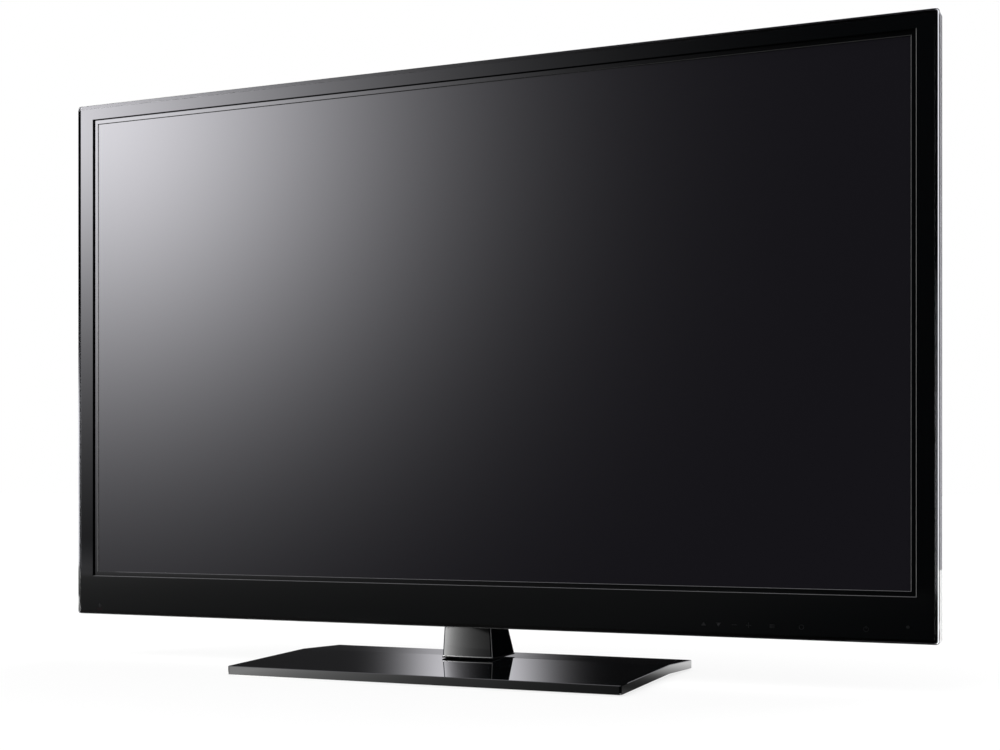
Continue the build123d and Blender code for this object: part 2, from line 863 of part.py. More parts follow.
def board_screws():
    """Screws that hold the boards on their standoffs."""
    shank = RegularPolygon(board_hole_radius - fit_gap, 6)
    head = RegularPolygon(board_screw_head, 6)
    head_top = board_back_y + board_screw_height
    screws = []
    for name in boards:
        for x, z in board_hole_points(name):
            screw = upright(Pos(x, z) * shank, board_front_y, board_back_y)
            screws.append(screw + upright(Pos(x, z) * head, board_back_y, head_top))
    return group(screws)


def board_middle(name):
    left, right, low, high = boards[name]
    return (left + right) / 2, (low + high) / 2


def heat_sink(x, z):
    """Extruded comb that stands on a board, with its fins upright."""
    width = (sink_fins - 1) * sink_fin_pitch + sink_fin_thickness
    comb = span(x - width / 2, x + width / 2, board_back_y, board_back_y + sink_base)
    for fin in range(sink_fins):
        left = x - width / 2 + fin * sink_fin_pitch
        comb += span(left, left + sink_fin_thickness, board_back_y, board_back_y + sink_depth)
    return rise(comb, z - sink_length / 2, z + sink_length / 2)


def heat_sinks():
    """Heat sinks of the two sustain boards and of the power supply."""
    y_x, y_z = board_middle("y_sustain_board")
    supply_x, supply_z = board_middle("power_supply_board")
    places = [
        (y_x, y_z + sink_length),
        (y_x, y_z - sink_length),
        board_middle("z_sustain_board"),
        (supply_x + sink_length, supply_z + sink_length),
    ]
    return group([heat_sink(x, z) for x, z in places])


def power_capacitors():
    """Reservoir capacitors of the power supply."""
    x, z = board_middle("power_supply_board")
    top = board_back_y + capacitor_height
    row = [x - sink_length + step * capacitor_pitch for step in range(capacitor_count)]
    return group([rod(spot, z + sink_length, capacitor_radius, board_back_y, top) for spot in row])


def power_transformers():
    """Transformers of the power supply: a wound bobbin held in a square core."""
    x, z = board_middle("power_supply_board")
    half = transformer_size / 2
    pieces = []
    for side in (-1, 1):
        middle = x + side * transformer_size
        core = span(middle - half, middle + half, board_back_y, board_back_y + transformer_height)
        body = rise(core, z - half / 2, z + half / 2)
        bobbin = span(middle - half / 2, middle + half / 2, z - half, z + half)
        pieces.append(body + upright(bobbin, board_back_y, board_back_y + transformer_height - sink_base))
    return group(pieces)


def board_chips():
    """Large packaged circuits on the control and main boards."""
    control_x, control_z = board_middle("control_board")
    main_x, main_z = board_middle("main_board")
    places = [(control_x + side * 2 * chip_size, control_z) for side in (-1, 1)]
    places.append((main_x, main_z + chip_size))
    outline = Rectangle(chip_size, chip_size)
    return group([upright(Pos(x, z) * outline, board_back_y, board_back_y + chip_height) for x, z in places])


def address_ribbons():
    """Flexible leads from the panel's lower edge, round the chassis, to the address boards."""
    half = ribbon_thickness / 2
    start_z = screen_mid_z - screen_height / 2 - front_glass_margin_top - half
    low_z = screen_mid_z - screen_height / 2 - rear_glass_margin_top - ribbon_drop
    path = FilletPolyline(
        (panel_joint_y - half, start_z),
        (panel_joint_y - half, low_z),
        (board_back_y + half, low_z),
        (board_back_y + half, address_low_z + 2 * board_hole_inset),
        radius=ribbon_bend,
    )
    profile = trace(path, ribbon_thickness)
    first = address_board_start + 2 * board_hole_inset
    free = column_outer_x - 2 * board_hole_inset - first - ribbon_width
    strips = []
    for side in (-1, 1):
        for step in range(ribbons_per_board):
            middle = side * (first + ribbon_width / 2 + free * step / (ribbons_per_board - 1))
            strips.append(across(profile, middle - ribbon_width / 2, middle + ribbon_width / 2))
    return group(strips)


def edge_ribbons(side, low, high, count):
    """Flexible leads from one side of the panel to the boards behind it."""
    half = ribbon_thickness / 2
    lip_x = screen_width / 2 + rear_glass_margin_side + half
    turn_x = screen_width / 2 + front_glass_margin_side + ribbon_drop / 2
    path = FilletPolyline(
        (side * lip_x, panel_joint_y + half),
        (side * turn_x, panel_joint_y + half),
        (side * turn_x, board_back_y + half),
        (side * (column_outer_x - 2 * board_hole_inset), board_back_y + half),
        radius=ribbon_bend / 2,
    )
    profile = trace(path, ribbon_thickness)
    free = high - low - ribbon_width
    levels = [low + free * step / (count - 1) for step in range(count)]
    return [rise(profile, level, level + ribbon_width) for level in levels]


def panel_side_ribbons():
    """Sustain leads at the viewer's left, and scan leads at the right, three to each scan board."""
    low, high = boards["z_sustain_board"][2:]
    strips = edge_ribbons(-1, low + ribbon_width, high - ribbon_width, sustain_ribbon_count)
    for name in ("scan_board_lower", "scan_board_upper"):
        low, high = boards[name][2:]
        strips += edge_ribbons(1, low + ribbon_width, high - ribbon_width, scan_ribbons_per_board)
    return group(strips)


def wire(points):
    """Round lead along straight runs joined by arcs."""
    path = FilletPolyline(*points, radius=wire_bend)
    section = Plane(origin=path @ 0, z_dir=path % 0) * Circle(wire_radius)
    return sweep(section, path=path)


def inlet_place():
    """Middle of the mains inlet, as (x, z)."""
    return inlet_x, address_low_z + inlet_above_boards


def wire_harness():
    """Leads between the mains inlet, the power supply, the boards and the loudspeakers."""
    deck = board_back_y
    lift = board_back_y + wire_lift
    high_lift = cover_inner_y - 2 * wire_radius
    x, z = inlet_place()
    supply_low = boards["power_supply_board"][2]
    supply_x = centre_half_width - 2 * board_hole_inset
    side_x = column_inner_x + 2 * board_hole_inset
    bus_z = boards["power_supply_board"][3] - sink_length
    main_high = boards["main_board"][3]
    speaker_x = speaker_start + speaker_length / 2
    speaker_top = speaker_low_z + speaker_height
    gap_z = address_high_z + board_gap / 2
    lead_z = column_low_z + 2 * board_hole_inset
    tap_z = supply_low + chip_size
    leads = [[(x, lift, z + inlet_height / 2), (x, lift, tap_z), (x, deck, tap_z)]]
    for side in (-1, 1):
        leads.append([
            (side * supply_x, deck, bus_z),
            (side * supply_x, lift, bus_z),
            (side * side_x, lift, bus_z),
            (side * side_x, deck, bus_z),
        ])
    leads.append([
        (-supply_x, deck, tap_z),
        (-supply_x, lift, tap_z),
        (-side_x, lift, tap_z),
        (-side_x, lift, main_high - chip_size),
        (-side_x, deck, main_high - chip_size),
    ])
    leads.append([
        (-speaker_x, deck, lead_z),
        (-speaker_x, lift, lead_z),
        (-speaker_x, lift, speaker_top),
    ])
    leads.append([
        (-side_x, deck, lead_z),
        (-side_x, high_lift, lead_z),
        (-side_x, high_lift, gap_z),
        (speaker_x, high_lift, gap_z),
        (speaker_x, high_lift, speaker_top),
    ])
    return group([wire(points) for points in leads])


def signal_ribbon():
    """Flat picture lead between the control board and the main board."""
    left = boards["control_board"][0]
    top = boards["control_board"][3] - 2 * board_hole_inset
    half = ribbon_thickness / 2
    lift = board_back_y + wire_lift
    path = FilletPolyline(
        (left + board_hole_inset, board_back_y),
        (left + board_hole_inset, lift),
        (-column_inner_x - board_hole_inset, lift),
        (-column_inner_x - board_hole_inset, board_back_y + half / 2),
        radius=wire_bend,
    )
    return rise(trace(path, ribbon_thickness), top - chip_size, top)


def speaker(side):
    """Slim sealed loudspeaker that fires down through the back cover."""
    left = min(side * speaker_start, side * (speaker_start + speaker_length))
    middle = left + speaker_length / 2
    front = bezel_back_y + speaker_front_gap
    rear = speaker_rear_y
    plan = span(left, left + speaker_length, front, rear)
    box = rise(plan, speaker_low_z, speaker_low_z + speaker_height)
    box = fillet(box.edges().filter_by(Axis.Z), speaker_corner)
    cone = Pos(middle, (split_y + rear) / 2) * SlotOverall(cone_length, cone_width)
    return box - rise(cone, speaker_low_z, speaker_low_z + cone_recess)


def cover_form(shrink):
    """Stepped form of the back cover, drawn in by shrink all round."""
    corner = cover_corner - shrink
    width = cabinet_width - 2 * (cover_inset + shrink)
    height = cabinet_height - 2 * (cover_inset + shrink)
    outline = Pos(0, cabinet_mid_z) * RectangleRounded(width, height, corner)
    pan = upright(outline, split_y, cover_back_y - shrink)
    pan = chamfer(pan.edges().group_by(Axis.Y)[-1], cover_slope)
    width = plateau_width - 2 * shrink
    height = plateau_height - 2 * shrink
    step = Pos(0, plateau_mid_z) * RectangleRounded(width, height, plateau_corner - shrink)
    plateau = upright(step, cover_inner_y - cover_wall, plateau_back_y - shrink)
    return pan + chamfer(plateau.edges().group_by(Axis.Y)[-1], plateau_slope - fit_gap)


def vent_slots():
    """Upright slots in rows, above the upper bosses and beside the neck."""
    slot = SlotOverall(vent_length, vent_width, rotation=90)
    top_mid = wall_pattern_mid_z + wall_pattern / 2 + vent_rows_above_bosses
    grid = GridLocations(vent_pitch, vent_row_pitch, vents_in_row, vent_rows)
    slots = [Pos(0, top_mid) * spot * slot for spot in grid]
    low_z = cabinet_clearance + low_vent_height
    for side in (-1, 1):
        for step in range(low_vents):
            slots.append(Pos(side * (low_vent_start + step * vent_pitch), low_z) * slot)
    return slots


def neck_notch():
    """Space that the neck passes through in the back cover's lower edge."""
    low = cabinet_clearance
    low_half = neck_half_width(low) + notch_gap
    high = neck_top_z + neck_seam
    high_half = neck_half_width(high) + notch_gap
    return Polygon((-low_half, low), (low_half, low), (high_half, high), (-high_half, high), align=None)


def jack_window():
    low = column_low_z + jack_window_above_board
    return jack_window_left, jack_window_left + jack_window_width, low, low + jack_window_height


def side_window():
    """Window in the cover's side wall, as (front, rear, low, high)."""
    low = column_low_z + side_window_above_board
    front = board_back_y - board_thickness / 2
    return front, front + side_window_depth, low, low + side_window_height


def rear_cover():
    """Pressed steel cover: flange, sloped pan, raised plateau, vents and connector windows."""
    rim = cabinet_outline(cover_flange_inset) - cabinet_outline(cover_inset + cover_wall)
    cover = cover_form(0) - cover_form(cover_wall)
    cover += upright(rim, split_y, split_y + cover_wall)
    cover -= upright(neck_notch(), split_y, plateau_back_y)
    cuts = [rod(x, z, wall_boss_radius + stop_gap, split_y, plateau_back_y)
            for x, z in wall_mount_points()]
    cuts += [upright(slot, cover_inner_y - cover_wall, plateau_back_y) for slot in vent_slots()]
    cuts += [rod(x, z, boss_bore_radius + fit_gap, split_y, split_y + cover_wall)
             for x, z in cover_screw_points()]
    cuts.append(upright(span(*jack_window()), cover_inner_y, plateau_back_y))
    x, z = inlet_place()
    inlet_hole = Pos(x, z) * Rectangle(inlet_width + 2 * fit_gap, inlet_height + 2 * fit_gap)
    cuts.append(upright(inlet_hole, cover_inner_y, cover_back_y))
    side_x = -cabinet_width / 2 + cover_inset
    cuts.append(across(span(*side_window()), side_x, side_x + cover_wall))
    grille = SlotOverall(cone_width, vent_width, rotation=90)
    grille_y = (split_y + speaker_rear_y) / 2
    for side in (-1, 1):
        middle = side * (speaker_start + speaker_length / 2)
        for step in range(grille_slots):
            slot_x = middle + (step - (grille_slots - 1) / 2) * 2 * vent_width
            cuts.append(rise(Pos(slot_x, grille_y) * grille, speaker_low_z - cover_wall, speaker_low_z))
    return cover - cuts


def rear_cover_screws():
    """Screws through the cover's flange into the bezel's bosses."""
    seat = split_y + cover_wall
    screws = []
    for x, z in cover_screw_points():
        shank = rod(x, z, boss_bore_radius - fit_gap, split_y - bezel_wall, seat)
        screws.append(shank + rod(x, z, cover_screw_head, seat, seat + cover_screw_height))
    return group(screws)


def phono_points():
    """Phono sockets in a row along the lower part of the rear connector window."""
    x = jack_window_left + (jack_window_width - (phono_count - 1) * phono_pitch) / 2
    z = jack_window()[2] + jack_window_height / 4
    return [(x + step * phono_pitch, z) for step in range(phono_count)]


def rear_hdmi_points():
    z = jack_window()[3] - jack_window_height / 4
    return [(jack_window_left + step * hdmi_width, z) for step in (1, 3)]


def vga_point():
    x = jack_window_left + jack_window_width - 2 * hdmi_width
    return x, jack_window()[3] - jack_window_height / 4


def rear_jack_panel():
    """Steel plate behind the rear connector window, punched for the sockets."""
    left, right, low, high = jack_window()
    lap = jack_plate_lap
    outline = span(left - lap, right + lap, low - lap, high + lap)
    plate = upright(outline, plateau_inner_y - jack_plate_wall, plateau_inner_y)
    for x, z in phono_points():
        plate -= rod(x, z, phono_radius + fit_gap, split_y, plateau_inner_y)
    for x, z in rear_hdmi_points():
        hole = Pos(x, z) * Rectangle(hdmi_width + 2 * fit_gap, hdmi_height + 2 * fit_gap)
        plate -= upright(hole, split_y, plateau_inner_y)
    vga_x, vga_z = vga_point()
    hole = Pos(vga_x, vga_z) * Rectangle(2 * hdmi_width + 2 * fit_gap, hdmi_height + 2 * fit_gap)
    return plate - upright(hole, split_y, plateau_inner_y)


def round_sockets():
    """Phono sockets at the rear for picture and sound, and the aerial socket at the side."""
    sockets = []
    for x, z in phono_points():
        barrel = rod(x, z, phono_radius, board_back_y, plateau_back_y + phono_reach)
        mouth = plateau_back_y + phono_reach
        sockets.append(barrel - rod(x, z, phono_bore, mouth - phono_reach, mouth))
    sockets.append(antenna_socket())
    return group(sockets)


def digital_sockets():
    """Folded metal shells: two picture sockets at the rear, one at the side, and one for a memory stick."""
    sockets = []
    for x, z in rear_hdmi_points():
        shell = upright(Pos(x, z) * Rectangle(hdmi_width, hdmi_height), board_back_y, plateau_inner_y)
        cavity = Pos(x, z) * Rectangle(hdmi_width - 2 * hdmi_wall, hdmi_height - 2 * hdmi_wall)
        sockets.append(shell - upright(cavity, plateau_inner_y - hdmi_cavity_depth, plateau_inner_y))
    sockets.append(side_socket(side_window()[3] - hdmi_width, hdmi_width, hdmi_height))
    sockets.append(side_socket(usb_z(), usb_width, usb_cavity_height + 2 * hdmi_wall))
    return group(sockets)


def side_plate_x():
    """Inner face of the cover's side wall at the side connectors."""
    return -cabinet_width / 2 + cover_inset + cover_wall


def side_socket(z, width, height):
    """Box socket on the main board's edge, open to the side."""
    mouth = side_plate_x()
    depth_mid = board_back_y + height / 2
    shell = across(Pos(depth_mid, z) * Rectangle(height, width), mouth, -column_outer_x + board_edge_margin)
    cavity = Pos(depth_mid, z) * Rectangle(height - 2 * hdmi_wall, width - 2 * hdmi_wall)
    return shell - across(cavity, mouth, mouth + hdmi_cavity_depth)


def usb_z():
    return side_window()[3] - 3 * hdmi_width


def antenna_z():
    return side_window()[2] + 2 * hdmi_width


def antenna_socket():
    """Round aerial socket at the side."""
    mouth = side_plate_x()
    place = Pos(board_back_y + antenna_radius, antenna_z())
    outer = mouth - jack_plate_wall
    barrel = across(place * Circle(antenna_radius), outer, -column_outer_x + board_edge_margin)
    return barrel - across(place * Circle(antenna_bore), outer, mouth + hdmi_cavity_depth)


def vga_socket():
    """Computer picture socket: a flanged shell round its contact block."""
    x, z = vga_point()
    body = upright(Pos(x, z) * Rectangle(2 * hdmi_width, hdmi_height), board_back_y, plateau_inner_y)
    shell = Pos(x, z) * RectangleRounded(hdmi_width, hdmi_height, hdmi_height / 3)
    return body + upright(shell, plateau_inner_y, plateau_back_y + phono_reach / 2)


def side_jack_panel():
    """Plastic plate behind the side window, punched for the side sockets."""
    front, rear, low, high = side_window()
    inner = side_plate_x()
    lap = jack_plate_lap
    plate = across(span(front, rear, low - lap, high + lap), inner, inner + jack_plate_wall)
    usb_height = usb_cavity_height + 2 * hdmi_wall
    holes = [
        (hdmi_height, hdmi_width, high - hdmi_width),
        (usb_height, usb_width, usb_z()),
    ]
    for height, width, z in holes:
        outline = Rectangle(height + 2 * fit_gap, width + 2 * fit_gap)
        plate -= across(Pos(board_back_y + height / 2, z) * outline, inner, inner + jack_plate_wall)
    ring = Pos(board_back_y + antenna_radius, antenna_z()) * Circle(antenna_radius + fit_gap)
    return plate - across(ring, inner, inner + jack_plate_wall)


def ac_inlet():
    """Moulded mains inlet, snapped into the back cover from outside, and its three contact blades."""
    x, z = inlet_place()
    face_y = cover_back_y + inlet_flange
    floor_y = face_y - inlet_cavity_depth
    flange = Rectangle(inlet_width + 2 * inlet_flange_lap, inlet_height + 2 * inlet_flange_lap)
    body = upright(Pos(x, z) * Rectangle(inlet_width, inlet_height), floor_y - inlet_wall, cover_back_y)
    body += upright(Pos(x, z) * flange, cover_back_y, face_y)
    cavity = Pos(x, z) * Rectangle(inlet_width - 2 * inlet_wall, inlet_height - 2 * inlet_wall)
    body -= upright(cavity, floor_y, face_y)
    blade = Rectangle(inlet_pin_thickness, inlet_pin_width)
    places = [(x + side * inlet_pin_spread, z - inlet_pin_width / 2) for side in (-1, 1)]
    places.append((x, z + inlet_pin_width / 2))
    tip_y = floor_y + inlet_pin_length
    return group([body] + [upright(Pos(a, b) * blade, floor_y, tip_y) for a, b in places])


parts = {
    "base_cover": base_cover,
    "base_plate": base_plate,
    "base_feet": base_feet,
    "base_screws": base_screws,
    "swivel_bush": swivel_bush,
    "swivel_stop_pin": swivel_stop_pin,
    "swivel_spindle": swivel_spindle,
    "swivel_washer": swivel_washer,
    "swivel_nut": swivel_nut,
    "neck_foot": neck_foot,
    "neck_post": neck_post,
    "post_screws": post_screws,
    "neck_front_cover": neck_front_cover,
    "neck_rear_cover": neck_rear_cover,
    "stand_bolts": stand_bolts,
    "stand_bracket": stand_bracket,
    "edge_trim": edge_trim,
    "front_bezel": front_bezel,
    "inner_trim": inner_trim,
    "sensor_lens": sensor_lens,
    "sensor_board": sensor_board,
    "touch_key_board": touch_key_board,
    "front_filter_glass": front_filter_glass,
    "filter_gasket": filter_gasket,
    "panel_front_glass": panel_front_glass,
    "panel_rear_glass": panel_rear_glass,
    "thermal_sheet": thermal_sheet,
    "chassis_plate": chassis_plate,
    "chassis_rails": chassis_rails,
    "wall_mount_bosses": wall_mount_bosses,
    "panel_brackets": panel_brackets,
    "board_standoffs": board_standoffs,
    "board_screws": board_screws,
    "heat_sinks": heat_sinks,
    "power_capacitors": power_capacitors,
    "power_transformers": power_transformers,
    "board_chips": board_chips,
    "address_ribbons": address_ribbons,
    "panel_side_ribbons": panel_side_ribbons,
    "signal_ribbon": signal_ribbon,
    "wire_harness": wire_harness,
    "rear_cover": rear_cover,
    "rear_cover_screws": rear_cover_screws,
    "rear_jack_panel": rear_jack_panel,
    "side_jack_panel": side_jack_panel,
    "round_sockets": round_sockets,
    "digital_sockets": digital_sockets,
    "vga_socket": vga_socket,
    "ac_inlet": ac_inlet,
}

os.makedirs("parts", exist_ok=True)
for name, make in parts.items():
    export_step(make(), f"parts/{name}.step")
for name in boards:
    export_step(circuit_board(name), f"parts/{name}.step")
export_step(speaker(-1), "parts/speaker_left.step")
export_step(speaker(1), "parts/speaker_right.step")
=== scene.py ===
from functools import reduce
from math import cos, pi, radians, sin

import bmesh
import bpy
from mathutils import Matrix, Vector


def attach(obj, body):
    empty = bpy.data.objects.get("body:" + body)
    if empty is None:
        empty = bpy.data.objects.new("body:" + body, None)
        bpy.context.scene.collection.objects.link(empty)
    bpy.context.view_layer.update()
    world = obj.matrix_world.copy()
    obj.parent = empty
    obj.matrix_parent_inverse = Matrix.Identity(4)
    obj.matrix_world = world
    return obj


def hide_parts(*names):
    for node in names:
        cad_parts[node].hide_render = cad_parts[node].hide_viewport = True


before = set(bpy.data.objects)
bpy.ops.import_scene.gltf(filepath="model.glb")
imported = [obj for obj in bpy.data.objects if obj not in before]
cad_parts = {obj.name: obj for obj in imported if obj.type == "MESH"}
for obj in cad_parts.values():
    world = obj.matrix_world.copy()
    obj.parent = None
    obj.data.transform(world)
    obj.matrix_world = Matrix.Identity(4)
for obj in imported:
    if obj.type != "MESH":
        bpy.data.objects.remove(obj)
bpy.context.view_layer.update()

# Camera: stands to the viewer's right of the set, a little above the table, and looks level.
# The small shifts frame the set as the photograph does.
camera_place = (0.8064, -1.8132, 0.2310)
camera_turn = radians(22.82)
camera_lens = 56.43
camera_shift = (0.0047, 0.1148)

camera_data = bpy.data.cameras.new("photo_camera")
camera_data.lens = camera_lens
camera_data.shift_x, camera_data.shift_y = camera_shift
camera = bpy.data.objects.new("photo_camera", camera_data)
camera.location = camera_place
camera.rotation_euler = (pi / 2, 0, camera_turn)
scene = bpy.context.scene
scene.collection.objects.link(camera)
scene.camera = camera


# Studio: plain soft light from all round and two broad suns, with white beyond the pale floor.
# Gloss sees a dark room instead, with one large soft lamp at the front left.
def feed(tree, socket, value):
    """Set an input, or link it where the value is another node's output."""
    if isinstance(value, bpy.types.NodeSocket):
        tree.links.new(value, socket)
    elif socket.type == "RGBA":
        socket.default_value = (*value, 1.0)
    else:
        socket.default_value = value


def node(tree, kind, settings=None, **feeds):
    """Add a node; settings are its own choices, feeds its inputs by name."""
    made = tree.nodes.new("ShaderNode" + kind)
    for name, value in (settings or {}).items():
        setattr(made, name, value)
    for name, value in feeds.items():
        feed(tree, made.inputs[name.replace("_", " ")], value)
    return made


def maths(tree, operation, *values, kind="Math", **feeds):
    """Result of a Math node, or of its vector kind."""
    made = node(tree, kind, {"operation": operation}, **feeds)
    for socket, value in zip(made.inputs, values):
        feed(tree, socket, value)
    return made.outputs[0]


def in_turn(operation):
    """Function that runs an operation over values in turn."""
    def run(tree, *values):
        return reduce(lambda total, value: maths(tree, operation, total, value), values)
    return run


plus = in_turn("ADD")
minus = in_turn("SUBTRACT")
times = in_turn("MULTIPLY")
over = in_turn("DIVIDE")
most = in_turn("MAXIMUM")
least = in_turn("MINIMUM")


def line_at(tree, value, slope, start):
    """Straight line: value times slope, plus the start."""
    return maths(tree, "MULTIPLY_ADD", value, slope, start)


def wave(tree, value, pitch):
    """Sine wave along a value."""
    return maths(tree, "SINE", times(tree, value, 2 * pi / pitch))


def vectors(tree, operation, *values, **feeds):
    """Result of a Vector Math node."""
    return maths(tree, operation, *values, kind="VectorMath", **feeds)


def fade(tree, value, start, end, low=0.0, high=1.0):
    """Smooth step from low to high as the value goes from start to end."""
    return node(tree, "MapRange", {"interpolation_type": "SMOOTHSTEP"}, Value=value,
                From_Min=start, From_Max=end, To_Min=low, To_Max=high).outputs[0]


def blend_of(tree, factor, first, second):
    """Colour between two colours."""
    made = node(tree, "Mix", {"data_type": "RGBA"})
    for place, value in ((0, factor), (6, first), (7, second)):
        feed(tree, made.inputs[place], value)
    return made.outputs[2]


def spot(tree):
    """The point's place in metres, as one vector."""
    return node(tree, "TexCoord").outputs["Object"]


def places(tree):
    """The point's x, y and z in metres."""
    return node(tree, "SeparateXYZ", Vector=spot(tree)).outputs


def facing(tree):
    """The x, y and z of the way that the surface faces."""
    return node(tree, "SeparateXYZ", Vector=node(tree, "NewGeometry").outputs["Normal"]).outputs


def seen_part(tree, *rays):
    """One for the kinds of ray named, nought for the others."""
    path = node(tree, "LightPath")
    return most(tree, *(path.outputs[name] for name in rays))


def ray_start(tree):
    """The x, y and z of the point that a reflected ray came from.

    The camera sees none of the pieces that ask for it, so this is always a place on the set itself.
    """
    here = node(tree, "NewGeometry").outputs
    length = node(tree, "LightPath").outputs["Ray Length"]
    back = vectors(tree, "SCALE", here["Incoming"], Scale=length)
    return node(tree, "SeparateXYZ", Vector=vectors(tree, "ADD", here["Position"], back)).outputs


def bare_material(name):
    """Material with only an output node, and its surface socket."""
    material = bpy.data.materials.new(name)
    material.use_nodes = True
    tree = material.node_tree
    tree.nodes.clear()
    return material, tree, tree.nodes.new("ShaderNodeOutputMaterial").inputs["Surface"]


def hump(tree, value, middle, width):
    """Bell curve round a middle value."""
    step = over(tree, minus(tree, value, middle), width)
    return maths(tree, "EXPONENT", times(tree, -1.0, times(tree, step, step)))


def place_mesh(name, shape, finish):
    """Turn a bmesh into an object at the origin."""
    mesh = bpy.data.meshes.new(name)
    shape.to_mesh(mesh)
    shape.free()
    mesh.materials.append(finish)
    made = bpy.data.objects.new(name, mesh)
    scene.collection.objects.link(made)
    return made


white = (1.0, 1.0, 1.0)
room_level = 0.7
sun_level = 1.4
sun_width = radians(50)
suns = (("front_sun", radians(-35), radians(50)), ("rear_sun", radians(160), radians(40)))
floor_reach = 60.0
floor_shade = 0.22
floor_seen = 0.79

world = bpy.data.worlds.new("studio")
scene.world = world
world.use_nodes = True
tree = world.node_tree
sky = tree.nodes["Background"].inputs
seen = seen_part(tree, "Is Camera Ray", "Is Glossy Ray", "Is Transmission Ray")
feed(tree, sky["Color"], white)
feed(tree, sky["Strength"], fade(tree, seen, 0.0, 1.0, room_level))

for name, side, height in suns:
    sun_data = bpy.data.lights.new(name, "SUN")
    sun_data.energy = sun_level
    sun_data.angle = sun_width
    sun = bpy.data.objects.new(name, sun_data)
    towards = Vector((sin(side) * cos(height), -cos(side) * cos(height), sin(height)))
    sun.rotation_euler = towards.to_track_quat("Z", "Y").to_euler()
    sun.visible_glossy = False
    scene.collection.objects.link(sun)

floor_finish, tree, surface = bare_material("studio_floor")
paint = node(tree, "BsdfDiffuse", Color=(floor_shade, floor_shade, floor_shade))
glow = node(tree, "Emission", Strength=times(tree, seen_part(tree, "Is Camera Ray"), floor_seen))
both = node(tree, "AddShader")
tree.links.new(paint.outputs[0], both.inputs[0])
tree.links.new(glow.outputs[0], both.inputs[1])
feed(tree, surface, both.outputs[0])
shape = bmesh.new()
bmesh.ops.create_grid(shape, x_segments=1, y_segments=1, size=floor_reach)
ground = place_mesh("studio_floor", shape, floor_finish)
ground.visible_glossy = False
ground.visible_transmission = False

# Room that only gloss and clear plastic see: the soft lamp's oval glow at the front left,
# a narrow upright glow behind, a pale ceiling, and a white backdrop low down behind the set.
# Pairs of values are where a glow starts to fade and where the fade ends.
room_centre_z = 0.4
room_radius = 6.0
lamp_peak = 15.9
lamp_on_base = 0.08 * lamp_peak
lamp_turn = radians(-42.38)
lamp_height = radians(16.27)
lamp_half_width = radians(11.33)
lamp_half_height = radians(11.2)
lamp_edge = 0.8385
lamp_colour = (0.985, 0.975, 1.03)
strip_peak = 1.5
strip_turn = radians(-156.4)
strip_half_width = radians(1.1)
strip_fall = radians(2.2)
strip_foot = (radians(-2), radians(11))
strip_head = (radians(40), radians(14))
strip_foot_part = 0.35
left_glow = 0.022
left_near_strip = (radians(-155), radians(-149))
left_far_end = (radians(-120), radians(-135))
ceiling_glow = 1.8
ceiling_dark = 0.006
ceiling_edge = (radians(28), radians(52))
rear_glow = 0.75
rear_sides = (radians(95), radians(125))
rear_above = (radians(14), radians(28))
rear_below = (radians(-8), radians(-14))
rim_glow = 1.0
rim_turn = (radians(166), radians(170))
backdrop_seen = 0.95
backdrop_top = (radians(5.4), radians(1.4))
backdrop_sides = (radians(155), radians(165))
base_top_z = 0.0166
neck_corner_y = 0.0109

room_finish, tree, surface = bare_material("studio_room")
x, y, z = places(tree)
height = maths(tree, "ARCSINE", over(tree, minus(tree, z, room_centre_z), room_radius))
turn = maths(tree, "ARCTAN2", x, times(tree, y, -1.0))
turned = maths(tree, "ABSOLUTE", turn)
start_x, start_y, start_z = ray_start(tree)
across = over(tree, minus(tree, turn, lamp_turn), lamp_half_width)
up = over(tree, minus(tree, height, lamp_height), lamp_half_height)
reach = plus(tree, times(tree, across, across), times(tree, up, up))
lamp = maths(tree, "EXPONENT", times(tree, maths(tree, "POWER", reach, lamp_edge), -1.0))
lamp = times(tree, lamp, fade(tree, start_z, base_top_z, base_top_z + 0.0012, lamp_on_base, lamp_peak))
aside = maths(tree, "ABSOLUTE", minus(tree, turn, strip_turn))
aside = most(tree, minus(tree, aside, strip_half_width), 0.0)
strip = times(tree, hump(tree, aside, 0.0, strip_fall), strip_peak,
              fade(tree, height, *strip_foot, strip_foot_part, 1.0), fade(tree, height, *strip_head))
beside_strip = times(tree, fade(tree, turn, *left_near_strip), left_glow, fade(tree, turn, *left_far_end))
ceiling = fade(tree, height, *ceiling_edge, ceiling_dark, ceiling_glow)
rear_right = times(tree, hump(tree, turn, radians(120), radians(14)),
                   hump(tree, height, radians(24), radians(12)))
glow = plus(tree, plus(tree, lamp, strip), plus(tree, ceiling, rear_right))
off_level = most(tree, fade(tree, height, *rear_above), fade(tree, height, *rear_below))
from_back = times(tree, fade(tree, start_y, 0.009, 0.014), fade(tree, start_z, 0.076, 0.084))
rear_soft = times(tree, fade(tree, turned, *rear_sides), most(tree, off_level, from_back), rear_glow)
past_rim = times(tree, fade(tree, turn, *rim_turn), rim_glow)
glow = most(tree, plus(tree, glow, beside_strip, past_rim), rear_soft)
on_neck = times(tree, fade(tree, maths(tree, "ABSOLUTE", start_x), 0.04, 0.036),
                fade(tree, start_z, 0.06, 0.056), fade(tree, start_z, 0.0172, 0.0182),
                fade(tree, start_y, neck_corner_y + 0.0012, neck_corner_y + 0.0004))
to_left = maths(tree, "EXPONENT", over(tree, plus(tree, start_x, 0.034), -0.0105))
mirrored = times(tree, on_neck, line_at(tree, to_left, 3.4, 1.05))
glow = times(tree, glow, plus(tree, mirrored, 1.0))
backdrop = most(tree, fade(tree, height, *backdrop_top), fade(tree, turned, *backdrop_sides))
backdrop = times(tree, backdrop, backdrop_seen)
clear_ray = seen_part(tree, "Is Transmission Ray")
level = plus(tree, times(tree, clear_ray, backdrop), times(tree, minus(tree, 1.0, clear_ray), glow))
light = node(tree, "Emission", Color=lamp_colour, Strength=level)
feed(tree, surface, light.outputs[0])
shape = bmesh.new()
